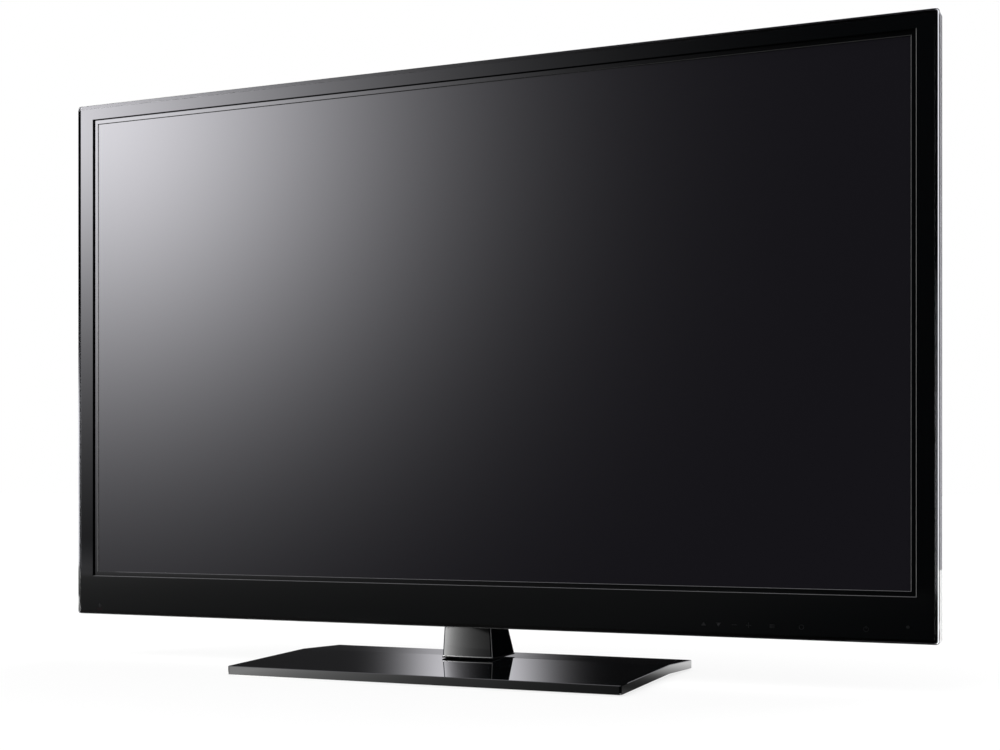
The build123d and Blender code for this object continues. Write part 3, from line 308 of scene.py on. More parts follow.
bmesh.ops.create_uvsphere(shape, u_segments=96, v_segments=48, radius=room_radius)
bmesh.ops.translate(shape, vec=(0, 0, room_centre_z), verts=shape.verts)
room = place_mesh("studio_room", shape, room_finish)

# Table top as gloss sees it: lit close to the front left of the base, in a wedge before the neck
# and beside the base's right edge, and clear beyond its near edge. A small card at the base's own
# height carries the wedge for the neck.
wedge_front_y = 0.009
wedge_lean = 0.404
wedge_spread = 8.93
wedge_slope = 8.6
wedge_end = (radians(46), radians(39))
table_lift = 0.0003
table_reach = 3.0
table_depth = 1.72
table_fade = 0.12
screen_foot_z = 0.118
screen_foot_soft = 0.006
before_base = (-0.05, -0.14)
beside_bend_y = 0.083
beside_most = 2.2
beside_end = (0.5, 0.42)
corner_glow = 4.5
neck_card_size = (0.4, 0.118)
neck_card_place = (-0.06, -0.053, 0.0172)
above_neck = (0.062, 0.074)


def wedge_before_neck(tree, x, y):
    """Glow that grows to the left, spread as the neck's crowned front sees it."""
    before = most(tree, line_at(tree, y, -1.0, wedge_front_y), 0.0)
    aside = plus(tree, x, times(tree, before, wedge_lean))
    aside = over(tree, aside, line_at(tree, before, wedge_spread, 1.0))
    swing = line_at(tree, aside, -7.68, 0.384)
    glow = plus(tree, maths(tree, "EXPONENT", line_at(tree, swing, wedge_slope, -3.15)), 0.14)
    return times(tree, glow, fade(tree, swing, *wedge_end))


table_finish, tree, surface = bare_material("studio_table")
x, y = places(tree)[:2]
start_x, start_y, start_z = ray_start(tree)
far = maths(tree, "EXPONENT", over(tree, plus(tree, x, 1.4), -1.05))
far = times(tree, far, fade(tree, y, *before_base, 0.0, 0.29), fade(tree, x, 0.72, -0.12))
near = least(tree, maths(tree, "EXPONENT", times(tree, x, -6.9)), 6.0)
near = times(tree, near, 0.72, fade(tree, y, -0.28, -0.22), fade(tree, y, *before_base))
wedge = times(tree, wedge_before_neck(tree, x, y), fade(tree, y, -0.62, -0.54), fade(tree, y, -0.22, -0.28))
past_bend = minus(tree, y, beside_bend_y)
beside = maths(tree, "EXPONENT", times(tree, least(tree, past_bend, 0.0), 27.0))
beside = line_at(tree, most(tree, past_bend, 0.0), 12.5, line_at(tree, beside, 0.62, 0.06))
beside = times(tree, least(tree, beside, beside_most), fade(tree, x, 0.252, 0.262),
               fade(tree, x, *beside_end), fade(tree, y, 0.46, 0.38))
corner = times(tree, fade(tree, y, -0.128, -0.142), fade(tree, x, 0.262, 0.268, 0.0, corner_glow))
beside = plus(tree, beside, times(tree, corner, fade(tree, x, *beside_end)))
beside = times(tree, beside, fade(tree, start_z, 0.034, 0.024))
aisle = times(tree, fade(tree, line_at(tree, y, -0.25, x), 0.212, 0.222), fade(tree, y, 0.34, 0.42))
behind = times(tree, fade(tree, y, 0.62, 0.85, 0.0, 0.85), seen_part(tree, "Is Transmission Ray"))
behind = most(tree, behind, fade(tree, y, 1.35, 1.8, 0.0, 0.7),
              times(tree, aisle, fade(tree, start_x, 0.3, 0.4, 0.0, 1.2)))
low_start = times(tree, fade(tree, start_z, 0.074, 0.062), fade(tree, start_y, 0.016, 0.012))
level = times(tree, plus(tree, wedge, near), low_start)
level = plus(tree, plus(tree, far, level), plus(tree, behind, beside))
light = node(tree, "Emission", Color=white, Strength=level)
from_screen = fade(tree, start_z, screen_foot_z - screen_foot_soft, screen_foot_z + screen_foot_soft)
hidden = most(tree, times(tree, from_screen, fade(tree, y, -0.1, -0.2)),
              fade(tree, y, -table_depth, -table_depth - table_fade))
both = node(tree, "MixShader", Fac=minus(tree, 1.0, hidden))
tree.links.new(node(tree, "BsdfTransparent").outputs[0], both.inputs[1])
tree.links.new(light.outputs[0], both.inputs[2])
feed(tree, surface, both.outputs[0])
shape = bmesh.new()
bmesh.ops.create_circle(shape, cap_ends=True, segments=96, radius=table_reach)
bmesh.ops.translate(shape, vec=(0, 0, table_lift), verts=shape.verts)
table = place_mesh("studio_table", shape, table_finish)

near_neck_finish, tree, surface = bare_material("studio_near_neck")
x, y = places(tree)[:2]
light = node(tree, "Emission", Color=white, Strength=wedge_before_neck(tree, x, y))
from_above = most(tree, node(tree, "NewGeometry").outputs["Backfacing"],
                  fade(tree, ray_start(tree)[2], *above_neck))
one_sided = node(tree, "MixShader", Fac=from_above)
tree.links.new(light.outputs[0], one_sided.inputs[1])
tree.links.new(node(tree, "BsdfTransparent").outputs[0], one_sided.inputs[2])
feed(tree, surface, one_sided.outputs[0])
shape = bmesh.new()
bmesh.ops.create_grid(shape, x_segments=1, y_segments=1, size=0.5)
bmesh.ops.scale(shape, vec=(*neck_card_size, 1), verts=shape.verts)
bmesh.ops.translate(shape, vec=neck_card_place, verts=shape.verts)
near_neck = place_mesh("studio_near_neck", shape, near_neck_finish)
for piece in (room, table, near_neck):
    piece.active_material.cycles.emission_sampling = "NONE"
    for ray in ("camera", "diffuse", "shadow", "volume_scatter"):
        setattr(piece, "visible_" + ray, False)


# Neck rear cover: black moulded plastic, polished in the mould and clipped to the front cover.
# The skin has a trace of waviness from moulding and the finest scatter of dust.
def new_group(name, inputs, outputs):
    """Node group; an input is a vector where its first value is a tuple."""
    group = bpy.data.node_groups.new(name, "ShaderNodeTree")
    for label, value in inputs.items():
        kind = "Vector" if isinstance(value, tuple) else "Float"
        socket = group.interface.new_socket(name=label, in_out="INPUT", socket_type="NodeSocket" + kind)
        socket.default_value = value
    for label, kind in outputs.items():
        group.interface.new_socket(name=label, in_out="OUTPUT", socket_type="NodeSocket" + kind)
    return group, group.nodes.new("NodeGroupInput").outputs, group.nodes.new("NodeGroupOutput").inputs


def use_group(tree, group, **feeds):
    """Place a node group with its own values, and give its outputs."""
    made = tree.nodes.new("ShaderNodeGroup")
    made.node_tree = group
    for name, value in feeds.items():
        feed(tree, made.inputs[name], value)
    return made.outputs


def finish_of(name, base, **feeds):
    """Material with a Principled shader; feeds are the shader's inputs."""
    material, tree, surface = bare_material(name)
    feed(tree, surface, node(tree, "BsdfPrincipled", Base_Color=base, **feeds).outputs[0])
    return material, tree


def set_look(finish, colour, roughness, **feeds):
    """Link the looks that change over the surface."""
    shader = finish.node_tree.nodes["Principled BSDF"]
    for label, value in {"Base Color": colour, "Roughness": roughness, **feeds}.items():
        feed(finish.node_tree, shader.inputs[label], value)


def stretched(tree, scale):
    """The point's place scaled apart in its three directions."""
    return node(tree, "Mapping", Vector=spot(tree), Scale=scale).outputs[0]


def noise(tree, scale, detail=2.0, roughness=0.5, place=None):
    """Noise value, at the point's own place where no other is given."""
    return node(tree, "TexNoise", Vector=place or spot(tree), Scale=scale, Detail=detail,
                Roughness=roughness).outputs[0]


def uneven(tree, value, smooth, coarse):
    """Roughness that follows the middle run of a noise value."""
    return fade(tree, value, 0.3, 0.7, smooth, coarse)


def relief(tree, height, distance, **feeds):
    """Bump normal from a height."""
    return node(tree, "Bump", Height=height, Distance=distance, **feeds).outputs[0]


def dress(finish, *names):
    """Give CAD nodes a finish."""
    for name in names:
        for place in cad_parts[name].material_slots:
            place.material = finish


moulding_skin, given, result = new_group(
    "moulding_skin", {"Waviness": 0.00002, "Scatter": 0.04, "Polish": 0.03},
    {"Roughness": "Float", "Normal": "Vector"})
tree = moulding_skin
waves = noise(tree, 9.0, 1.0, 0.3)
dust = fade(tree, noise(tree, 900.0, 2.0, 0.6), 0.68, 0.8)
feed(tree, result["Normal"], relief(tree, waves, given["Waviness"]))
feed(tree, result["Roughness"], line_at(tree, dust, given["Scatter"], given["Polish"]))

black_moulding = (0.0013, 0.0018, 0.0022)
black_cloud = (0.0016, 0.0018, 0.0020)


def moulded_black(tree):
    """Colour of the black moulding, slightly clouded, and its skin."""
    cloud = noise(tree, 6.0)
    return blend_of(tree, cloud, black_moulding, black_cloud), use_group(tree, moulding_skin)


gloss_black, tree = finish_of("gloss_black", black_moulding)
plain, skin = moulded_black(tree)
set_look(gloss_black, plain, skin["Roughness"], Normal=skin["Normal"])
dress(gloss_black, "neck_rear_cover")

# Neck front cover: the same black moulding, clipped over the steel post. A fine painted highlight runs
# along its lower edge and right corner, and beside its left and right edges the face is painted dark.
neck_bottom_z = 0.0183
neck_half_foot = 0.0339
neck_taper = 0.0655
corner_highlight_level = 0.22
foot_ends = (-0.034, 0.034)
foot_highlight_range = (0.75, 0.30)
neck_black, tree = finish_of("neck_black", black_moulding)
plain, skin = moulded_black(tree)
x, y, z = places(tree)
faces = facing(tree)
above_foot = minus(tree, z, neck_bottom_z)
half_here = line_at(tree, above_foot, -neck_taper, neck_half_foot)
to_front = fade(tree, faces[1], -0.5, -0.7)
behind_corner = minus(tree, y, neck_corner_y)
# Painted highlight: white mixed into the colour along the right corner and the lower edge.
painted_corner_highlight = times(tree, fade(tree, behind_corner, 0.0004, 0.001),
                    fade(tree, behind_corner, 0.0034, 0.0028), fade(tree, faces[0], 0.5, 0.7), corner_highlight_level)
painted_foot_highlight = times(tree, fade(tree, above_foot, 0.0012, 0.0008), to_front,
                  fade(tree, x, *foot_ends, *foot_highlight_range))
from_edge = minus(tree, half_here, maths(tree, "ABSOLUTE", x))
# Painted shade: the face is made metallic, and so dark, beside its left and right edges.
painted_edge_shade = times(tree, fade(tree, from_edge, 0.0016, 0.001), to_front,
                  fade(tree, above_foot, 0.001, 0.0016))
set_look(neck_black, blend_of(tree, most(tree, painted_corner_highlight, painted_foot_highlight), plain, white),
         skin["Roughness"], Normal=skin["Normal"], Metallic=painted_edge_shade)
dress(neck_black, "neck_front_cover")


# Shoe under the neck: a thin moulded plate with a dull skin, so it reads as one dark line between
# the neck and its mirror image in the base. It turns with the neck.
def grained(name, base, low, high, scale, smooth, coarse, **feeds):
    """Moulded finish with one fine grain in its colour, roughness and relief."""
    finish, tree = finish_of(name, base, **feeds)
    grain = noise(tree, scale)
    set_look(finish, blend_of(tree, grain, low, high), uneven(tree, grain, smooth, coarse),
             Normal=relief(tree, grain, 0.00001))
    return finish


shoe_black = grained("shoe_black", (0.0020, 0.0020, 0.0021), (0.0014, 0.0014, 0.0015),
                     (0.0028, 0.0028, 0.0029), 1500.0, 0.42, 0.58, IOR=1.45, Specular_IOR_Level=0.04)
dress(shoe_black, "neck_foot")

# Base cover: a moulded shell of the same black, screwed to the steel plate. The photograph shows it
# bent as one sheet, with the skirt's lower edge following the ridge too. The solid's mesh is copied,
# merged and cut at the ridge, and its lower rim is raised.
skirt_foot_z = 0.0015
ridge_y = 0.043
ridge_lift = 0.0036
base_half_depth = 0.145
same_point = 0.000002
shape = bmesh.new()
shape.from_mesh(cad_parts["base_cover"].data)
bmesh.ops.remove_doubles(shape, verts=shape.verts, dist=same_point)
bmesh.ops.bisect_plane(shape, geom=shape.verts[:] + shape.edges[:] + shape.faces[:], dist=same_point,
                       plane_co=(0, ridge_y, 0), plane_no=(0, 1, 0))
for vert in shape.verts:
    if vert.co.z < skirt_foot_z + 10 * same_point:
        from_ridge = vert.co.y - ridge_y
        run = base_half_depth - ridge_y if from_ridge > 0 else base_half_depth + ridge_y
        vert.co.z += ridge_lift * (1 - abs(from_ridge) / run)
bent_base_cover = place_mesh("bent_base_cover", shape, gloss_black)
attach(bent_base_cover, "stand")
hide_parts("base_cover")


# Front bezel: the same black, moulded as one frame and held by hooks on the chassis. Its long bars
# are shaded as if bowed a few degrees, which draws the lamp's glow shorter than the flat glass does,
# and the edges of its opening carry a painted highlight.
def curve_of(tree, value, at_nought, slope, bend):
    """Angle from a value by a second-order curve, given in degrees."""
    return line_at(tree, value, line_at(tree, value, radians(bend), radians(slope)), radians(at_nought))


def turned_normal(tree, normal, turn):
    """Unit normal after a small turn is added."""
    return vectors(tree, "NORMALIZE", vectors(tree, "ADD", normal, turn))


bow_middle_z = 0.42
bar_bow, given, result = new_group(
    "bar_bow", {"Normal": (0.0, 0.0, 0.0), "Amount": 1.0}, {"Normal": "Vector"})
tree = bar_bow
x, y, z = places(tree)
side_bow = curve_of(tree, x, 1.07, -2.74, -1.5)
rise_bow = curve_of(tree, minus(tree, z, bow_middle_z), -2.35, 6.51, 8.0)
rise_bow = times(tree, rise_bow, fade(tree, z, 0.11, 0.17))
both_bows = node(tree, "CombineXYZ", X=side_bow, Z=rise_bow).outputs[0]
bow = vectors(tree, "SCALE", both_bows, Scale=given["Amount"])
feed(tree, result["Normal"], turned_normal(tree, given["Normal"], bow))

opening_half_width = 0.56
opening_top = (0.755, 0.752)
edge_sides = (("Left", 0, 0.4, 0.6), ("Right", 0, -0.4, -0.6),
              ("Top", 2, -0.4, -0.6), ("Bottom", 2, 0.4, 0.6))
# Painted highlight: white mixed into the colour on the edges of the opening, by the way each edge faces.
painted_edge_highlights, given, result = new_group(
    "painted_edge_highlights", {"Left": 0.0, "Right": 0.0, "Top": 0.0, "Bottom": 0.0}, {"Highlight": "Float"})
tree = painted_edge_highlights
x, y, z = places(tree)
faces = facing(tree)
tone = 0.0
for name, axis, start, end in edge_sides:
    tone = line_at(tree, fade(tree, faces[axis], start, end), given[name], tone)
inside = fade(tree, maths(tree, "ABSOLUTE", x), opening_half_width + 0.002, opening_half_width + 0.001)
feed(tree, result["Highlight"], times(tree, tone, times(tree, inside, fade(tree, z, *opening_top))))

bezel_black, tree = finish_of("bezel_black", black_moulding, IOR=1.525)
plain, skin = moulded_black(tree)
bowed = use_group(tree, bar_bow, Normal=skin["Normal"])
# Painted highlight: white mixed into the colour on the right and bottom edges of the opening.
edges = use_group(tree, painted_edge_highlights, Right=0.3, Bottom=0.03)
set_look(bezel_black, blend_of(tree, edges["Highlight"], plain, white), skin["Roughness"], Normal=bowed["Normal"])
dress(bezel_black, "front_bezel")


# Key and receiver marks: dark grey print, a few hundredths thick, along the lower right border
# and beside the receiver's window. They are plain signs, faint, and nothing there travels.
def outline_of(shape, *corners):
    """Flat face through corners in the x, z plane."""
    shape.faces.new([shape.verts.new((x, 0.0, z)) for x, z in corners])


def stroke_of(shape, left, right, low, high):
    """Flat stroke in the x, z plane."""
    outline_of(shape, (left, low), (right, low), (right, high), (left, high))


def ring_of(shape, x, z, radius, width):
    """Flat ring, turned from a short line."""
    line = [shape.verts.new((x + radius - width, 0, z)), shape.verts.new((x + radius, 0, z))]
    edge = shape.edges.new(line)
    bmesh.ops.spin(shape, geom=line + [edge], cent=(x, 0, z), axis=(0, 1, 0), angle=2 * pi, steps=24,
                   use_merge=True)


def verts_in(pieces):
    """The verts among the pieces that an operation made."""
    return [piece for piece in pieces if isinstance(piece, bmesh.types.BMVert)]


mark_face_y = -0.014
mark_lift = 0.00004
mark_line = 0.00045
mark_half = 0.003
key_row_z = 0.073
arrow_keys = ((0.3157, 1), (0.3338, -1))
minus_key_x = 0.3526
plus_key_x = 0.3697
menu_key_x = 0.3974
enter_key_x = 0.4316
power_key_x = 0.5049
power_lamp_x = 0.5514
receiver_mark = (-0.5482, 0.07)
key_print = grained("key_print", (0.005, 0.005, 0.0053), (0.0035, 0.0036, 0.0038), (0.0065, 0.0066, 0.0070),
                    3000.0, 0.3, 0.45, IOR=1.45)
shape = bmesh.new()
wide = mark_line / 2
for x, way in arrow_keys:
    outline_of(shape, (x - mark_half, key_row_z - 0.002 * way), (x + mark_half, key_row_z - 0.002 * way),
               (x, key_row_z + 0.0024 * way))
for x in (minus_key_x, plus_key_x):
    stroke_of(shape, x - mark_half, x + mark_half, key_row_z - wide, key_row_z + wide)
for low, high in ((-mark_half, -wide), (wide, mark_half)):
    stroke_of(shape, plus_key_x - wide, plus_key_x + wide, key_row_z + low, key_row_z + high)
for step in range(3):
    low = key_row_z + step * 0.0016 - 0.002
    stroke_of(shape, menu_key_x - mark_half, menu_key_x + mark_half, low, low + 0.0005)
ring_of(shape, enter_key_x, key_row_z, 0.0028, mark_line)
ring_of(shape, power_key_x, key_row_z, 0.003, mark_line)
stroke_of(shape, power_key_x - wide, power_key_x + wide, key_row_z + 0.0004, key_row_z + 0.004)
ring_of(shape, power_lamp_x, key_row_z + 0.004, 0.0018, 0.0018)
ring_of(shape, *receiver_mark, 0.0016, mark_line)
raised = verts_in(bmesh.ops.extrude_face_region(shape, geom=shape.faces[:])["geom"])
bmesh.ops.translate(shape, vec=(0, -mark_lift, 0), verts=raised)
bmesh.ops.recalc_face_normals(shape, faces=shape.faces)
bmesh.ops.translate(shape, vec=(0, mark_face_y, 0), verts=shape.verts)
key_marks = place_mesh("key_marks", shape, key_print)
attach(key_marks, "display")

# Clear rim: extruded acrylic, polished, clipped round the bezel; light from behind comes through
# its uprights. Its level runs lie on the dark lip of the cabinet and are tinted near black as painted shade,
# and fine draw lines run along it.
bead_turn = 0.45
flat_bevel = 6.0
acrylic = (0.96, 0.97, 0.98)
acrylic_painted_dark = (0.015, 0.015, 0.016)
lower_run = (0.0635, 0.0625)
upper_run = (0.761, 0.763)
run_ends = (0.5815, 0.58)
clear_rim, tree = finish_of("clear_rim", acrylic, IOR=1.49, Transmission_Weight=1.0)
x, y, z = places(tree)
lines = noise(tree, 1.0, place=stretched(tree, (40.0, 1600.0, 40.0)))
level_run = most(tree, fade(tree, z, *lower_run), fade(tree, z, *upper_run))
level_run = times(tree, level_run, fade(tree, maths(tree, "ABSOLUTE", x), *run_ends))
bead = node(tree, "CombineXYZ", X=fade(tree, x, -0.579, -0.582, 0.0, -bead_turn)).outputs[0]
rounded = turned_normal(tree, node(tree, "NewGeometry").outputs["Normal"], bead)
flatter = times(tree, fade(tree, facing(tree)[1], -0.3, -0.6), level_run, -flat_bevel)
rounded = turned_normal(tree, rounded, node(tree, "CombineXYZ", Y=flatter).outputs[0])
bowed = use_group(tree, bar_bow, Normal=rounded, Amount=level_run)
drawn = fade(tree, lines, 0.3, 0.8, 0.02, 0.06)
drawn = least(tree, drawn, fade(tree, level_run, 0.0, 1.0, 0.06, 0.022))
# Painted shade: the level runs are tinted near black.
set_look(clear_rim, blend_of(tree, level_run, acrylic, acrylic_painted_dark), drawn, Normal=bowed["Normal"])
dress(clear_rim, "edge_trim")

# Flat band round the glass: a moulded strip with a glossy black film, set back from the bezel.
# Its cut edge carries a painted highlight: pale where it faces the lamp and grey where it faces up or down.
black_band, tree = finish_of("black_band", (0.0014, 0.0016, 0.0018))
grain = noise(tree, 2600.0)
lit_left = fade(tree, places(tree)[2], 0.2, 0.7, 0.26, 0.95)
# Painted highlight on the strip's cut edge, stronger higher up on the left.
edges = use_group(tree, painted_edge_highlights, Left=lit_left, Right=0.24, Top=0.08, Bottom=0.03)
film = blend_of(tree, grain, (0.0012, 0.0014, 0.0016), (0.0018, 0.0020, 0.0022))
set_look(black_band, blend_of(tree, edges["Highlight"], film, white),
         uneven(tree, grain, 0.03, 0.06), Normal=relief(tree, grain, 0.0000003))
dress(black_band, "inner_trim")

# Front filter: toughened glass with a smoke tint and an optical film, held against the band from
# behind. It is dark, very flat and glossy.
smoke = (0.0102, 0.0096, 0.0126)
filter_glass, tree = finish_of("filter_glass", smoke)
skin = use_group(tree, moulding_skin, Waviness=0.000006, Scatter=0.02, Polish=0.012)
cloud = noise(tree, 3.0, 1.0)
set_look(filter_glass, blend_of(tree, cloud, smoke, (0.0108, 0.0100, 0.0132)),
         skin["Roughness"], Normal=skin["Normal"])
dress(filter_glass, "front_filter_glass")

# Receiver window: a small lens of dark red acrylic, moulded and pressed into the bezel's lower bar,
# in front of the remote-control receiver.
dark_lens, tree = finish_of("dark_lens", (0.006, 0.002, 0.003))
ripple = noise(tree, 260.0, 1.0)
set_look(dark_lens, blend_of(tree, ripple, (0.004, 0.0015, 0.0022), (0.008, 0.0020, 0.0030)),
         fade(tree, ripple, 0.2, 0.8, 0.03, 0.08), Normal=relief(tree, ripple, 0.00001))
dress(dark_lens, "sensor_lens")

# Panel glass, front and rear: float glass sheets sealed at the rim, with the fine upright cells
# between them, grey when unlit.
cell_pitch = 0.00081
panel_glass, tree = finish_of("panel_glass", (0.05, 0.055, 0.05), IOR=1.52)
cells = wave(tree, places(tree)[0], cell_pitch)
cells = blend_of(tree, fade(tree, cells, -0.6, 0.6), (0.040, 0.050, 0.046), (0.075, 0.085, 0.080))
set_look(panel_glass, cells, uneven(tree, noise(tree, 14.0), 0.06, 0.14))
dress(panel_glass, "panel_front_glass", "panel_rear_glass")

# Plated steel of the stand, the brackets and the jack plates: cold-rolled sheet and turned bar,
# bright zinc. Rolling leaves fine lines, and the plating clouds a little in blue and straw.
# The plain aluminium, the screws and the socket shells share its grain.
metal_grain, given, result = new_group(
    "metal_grain", {"Place": (0.0, 0.0, 0.0), "Lines": 900.0},
    {"Line": "Float", "Cloud": "Float", "Normal": "Vector"})
tree = metal_grain
ruled = noise(tree, given["Lines"], 3.0, 0.6, given["Place"])
feed(tree, result["Line"], ruled)
feed(tree, result["Cloud"], noise(tree, 18.0, 4.0, 0.6))
feed(tree, result["Normal"], relief(tree, ruled, 0.0000003))

zinc = (0.52, 0.55, 0.60)
metals = (
    ("plated_steel", zinc, (0.66, 0.64, 0.56), (0.33, 0.39), (1.0, 0.06, 0.06),
     ("base_plate", "neck_post", "stand_bracket", "chassis_rails", "panel_brackets", "swivel_washer",
      "swivel_nut", "swivel_spindle", "swivel_stop_pin", "rear_jack_panel", "board_standoffs")),
    ("aluminium", (0.70, 0.71, 0.72), (0.80, 0.80, 0.79), (0.3, 0.5), (0.05, 1.0, 1.0),
     ("chassis_plate", "heat_sinks")),
    ("dark_screws", (0.035, 0.036, 0.040), (0.060, 0.058, 0.056), (0.3, 0.46), (1.0, 0.2, 1.0),
     ("base_screws", "post_screws", "stand_bolts", "rear_cover_screws")),
    ("board_fixings", (0.60, 0.60, 0.58), (0.72, 0.71, 0.68), (0.22, 0.34), (1.0, 0.2, 1.0),
     ("board_screws",)),
    ("socket_metal", (0.62, 0.60, 0.56), (0.74, 0.72, 0.68), (0.27, 0.33), (1.0, 0.1, 1.0),
     ("round_sockets", "digital_sockets", "vga_socket")),
)
for label, cool, warm, (smooth, coarse), grain_way, names in metals:
    finish, tree = finish_of(label, cool, Metallic=1.0)
    grain = use_group(tree, metal_grain, Place=stretched(tree, grain_way))
    set_look(finish, blend_of(tree, fade(tree, grain["Cloud"], 0.35, 0.65), cool, warm),
             uneven(tree, grain["Line"], smooth, coarse), Normal=grain["Normal"])
    dress(finish, *names)

# Wall-mount bosses: turned steel posts with a cut thread in the bore, zinc plated.
# The thread shows as fine rings at one millimetre pitch.
thread_pitch = 0.001
thread_depth = 0.00022
boss_steel, tree = finish_of("boss_steel", zinc, Metallic=1.0)
grain = use_group(tree, metal_grain, Place=stretched(tree, (0.1, 1.0, 0.1)))
rings = wave(tree, places(tree)[1], thread_pitch)
side_on = fade(tree, maths(tree, "ABSOLUTE", facing(tree)[1]), 0.5, 0.2)
cut = relief(tree, times(tree, rings, side_on), thread_depth, Normal=grain["Normal"])
set_look(boss_steel, blend_of(tree, grain["Cloud"], (0.50, 0.53, 0.58), (0.64, 0.62, 0.55)),
         uneven(tree, grain["Line"], 0.24, 0.4), Normal=cut)
dress(boss_steel, "wall_mount_bosses")

# Back cover: pressed steel sheet, powder coated near black. The coat has a fine pebbled skin,
# and house dust settles on its ledges and upper slopes.
powder_black = (0.0125, 0.0128, 0.0135)
dust_most = 0.22
powder_coat, tree = finish_of("powder_coat", powder_black)
pebbles = noise(tree, 850.0, 3.0, 0.55)
patches = fade(tree, noise(tree, 30.0, 5.0, 0.65), 0.35, 0.75)
specks = fade(tree, noise(tree, 1400.0, 2.0, 0.6), 0.55, 0.75)
dust = times(tree, fade(tree, facing(tree)[2], 0.05, 0.9), plus(tree, patches, specks), dust_most)
coat = blend_of(tree, noise(tree, 5.0), powder_black, (0.0155, 0.0156, 0.0160))
set_look(powder_coat, blend_of(tree, dust, coat, (0.16, 0.15, 0.14)),
         uneven(tree, pebbles, 0.38, 0.55), Normal=relief(tree, pebbles, 0.00006))
dress(powder_coat, "rear_cover")

# Satin plastic of the loudspeakers, the side jack panel and the mains inlet: moulded black,
# with the fine matt texture of a spark-eroded mould.
satin_black = (0.014, 0.014, 0.015)
black_plastic, tree = finish_of("black_plastic", satin_black, IOR=1.49)
texture = noise(tree, 1800.0, 2.0, 0.6)
set_look(black_plastic, blend_of(tree, noise(tree, 12.0), satin_black, (0.019, 0.019, 0.020)),
         uneven(tree, texture, 0.34, 0.52), Normal=relief(tree, texture, 0.00003))
dress(black_plastic, "speaker_left", "speaker_right", "side_jack_panel", "ac_inlet")

# Rubber feet: moulded black rubber pads glued under the base plate. They are dull, with a little
# grey bloom on the skin.
rubber, tree = finish_of("rubber", (0.018, 0.018, 0.018))
bloom = fade(tree, noise(tree, 700.0, 3.0, 0.7), 0.5, 0.75)
set_look(rubber, blend_of(tree, bloom, (0.016, 0.016, 0.016), (0.045, 0.044, 0.042)),
         fade(tree, bloom, 0.0, 1.0, 0.72, 0.9), Normal=relief(tree, noise(tree, 1500.0), 0.00004))
dress(rubber, "base_feet")

# Swivel bush: turned from off-white acetal and pressed into the base plate, slightly waxy, with
# faint rings left by the turning tool.
ring_pitch = 0.0004
bearing_plastic, tree = finish_of("bearing_plastic", (0.76, 0.74, 0.68), IOR=1.48)
rings = wave(tree, places(tree)[2], ring_pitch)
wax = noise(tree, 60.0)
set_look(bearing_plastic, blend_of(tree, wax, (0.72, 0.70, 0.63), (0.80, 0.78, 0.72)),
         uneven(tree, wax, 0.28, 0.42), Normal=relief(tree, rings, 0.00002))
dress(bearing_plastic, "swivel_bush")

# Heat-spreading sheet: rolled graphite film pressed between the panel's back and the chassis plate,
# dark with a mica glint.
graphite, tree = finish_of("graphite", (0.045, 0.045, 0.048), Metallic=0.35)
flakes = node(tree, "TexVoronoi", Vector=spot(tree), Scale=1600.0).outputs["Distance"]
set_look(graphite, blend_of(tree, flakes, (0.060, 0.060, 0.064), (0.028, 0.028, 0.030)),
         fade(tree, flakes, 0.0, 0.8, 0.3, 0.55), Normal=relief(tree, flakes, 0.00002))
dress(graphite, "thermal_sheet")

# Gasket behind the front filter: foam wrapped in silvery conductive cloth, woven over and under,
# and stuck down round the rim.
thread_step = 0.0006
conductive_cloth, tree = finish_of("conductive_cloth", (0.42, 0.41, 0.38), Metallic=0.7)
x, y, z = places(tree)
warp = wave(tree, plus(tree, x, y), thread_step)
weft = wave(tree, minus(tree, z, y), thread_step)
weave = times(tree, warp, weft)
cloth = blend_of(tree, fade(tree, weave, -1.0, 1.0), (0.30, 0.29, 0.27), (0.52, 0.51, 0.47))
set_look(conductive_cloth, cloth, fade(tree, weave, -1.0, 1.0, 0.55, 0.35),
         Normal=relief(tree, weave, 0.0001))
dress(conductive_cloth, "filter_gasket")

# Circuit boards: glass-cloth laminate, green resist over copper, with tinned pads and a faint weave.
# The tracks run in nested slanting turns, and the pads are small squares.
circuit_board, tree = finish_of("circuit_board", (0.01, 0.07, 0.03))
cells = node(tree, "TexVoronoi", {"distance": "MANHATTAN"}, Vector=spot(tree), Scale=130.0)
edges = node(tree, "TexVoronoi", {"distance": "CHEBYCHEV"}, Vector=spot(tree), Scale=75.0)
tracks = fade(tree, maths(tree, "SINE", times(tree, cells.outputs["Distance"], 26.0)), 0.35, 0.55)
pads = fade(tree, edges.outputs["Distance"], 0.16, 0.12)
weave = noise(tree, 1500.0, place=stretched(tree, (1.0, 1.0, 0.2)))
green = blend_of(tree, tracks, (0.006, 0.045, 0.020), (0.012, 0.085, 0.036))
set_look(circuit_board, blend_of(tree, pads, green, (0.46, 0.45, 0.42)),
         uneven(tree, weave, 0.24, 0.4), Normal=relief(tree, tracks, 0.00003), Metallic=pads)
dress(circuit_board, "sensor_board", "touch_key_board", "address_board_left", "address_board_right",
      "scan_board_lower", "scan_board_upper", "y_sustain_board", "main_board", "z_sustain_board",
      "control_board", "power_supply_board")

# Chips, transformers and capacitors: moulded epoxy, wound tape and shrink sleeve.
# Each part has its own tone, with a matt moulded skin.
components, tree = finish_of("components", (0.02, 0.02, 0.022))
part_tone = node(tree, "TexVoronoi", Vector=spot(tree), Scale=22.0).outputs["Color"]
grain = noise(tree, 1600.0)
mixed = blend_of(tree, 0.06, (0.016, 0.016, 0.018), part_tone)
set_look(components, blend_of(tree, fade(tree, grain, 0.4, 0.7), mixed, (0.020, 0.020, 0.022)),
         uneven(tree, grain, 0.35, 0.55), Normal=relief(tree, grain, 0.00002))
dress(components, "board_chips", "power_transformers", "power_capacitors")


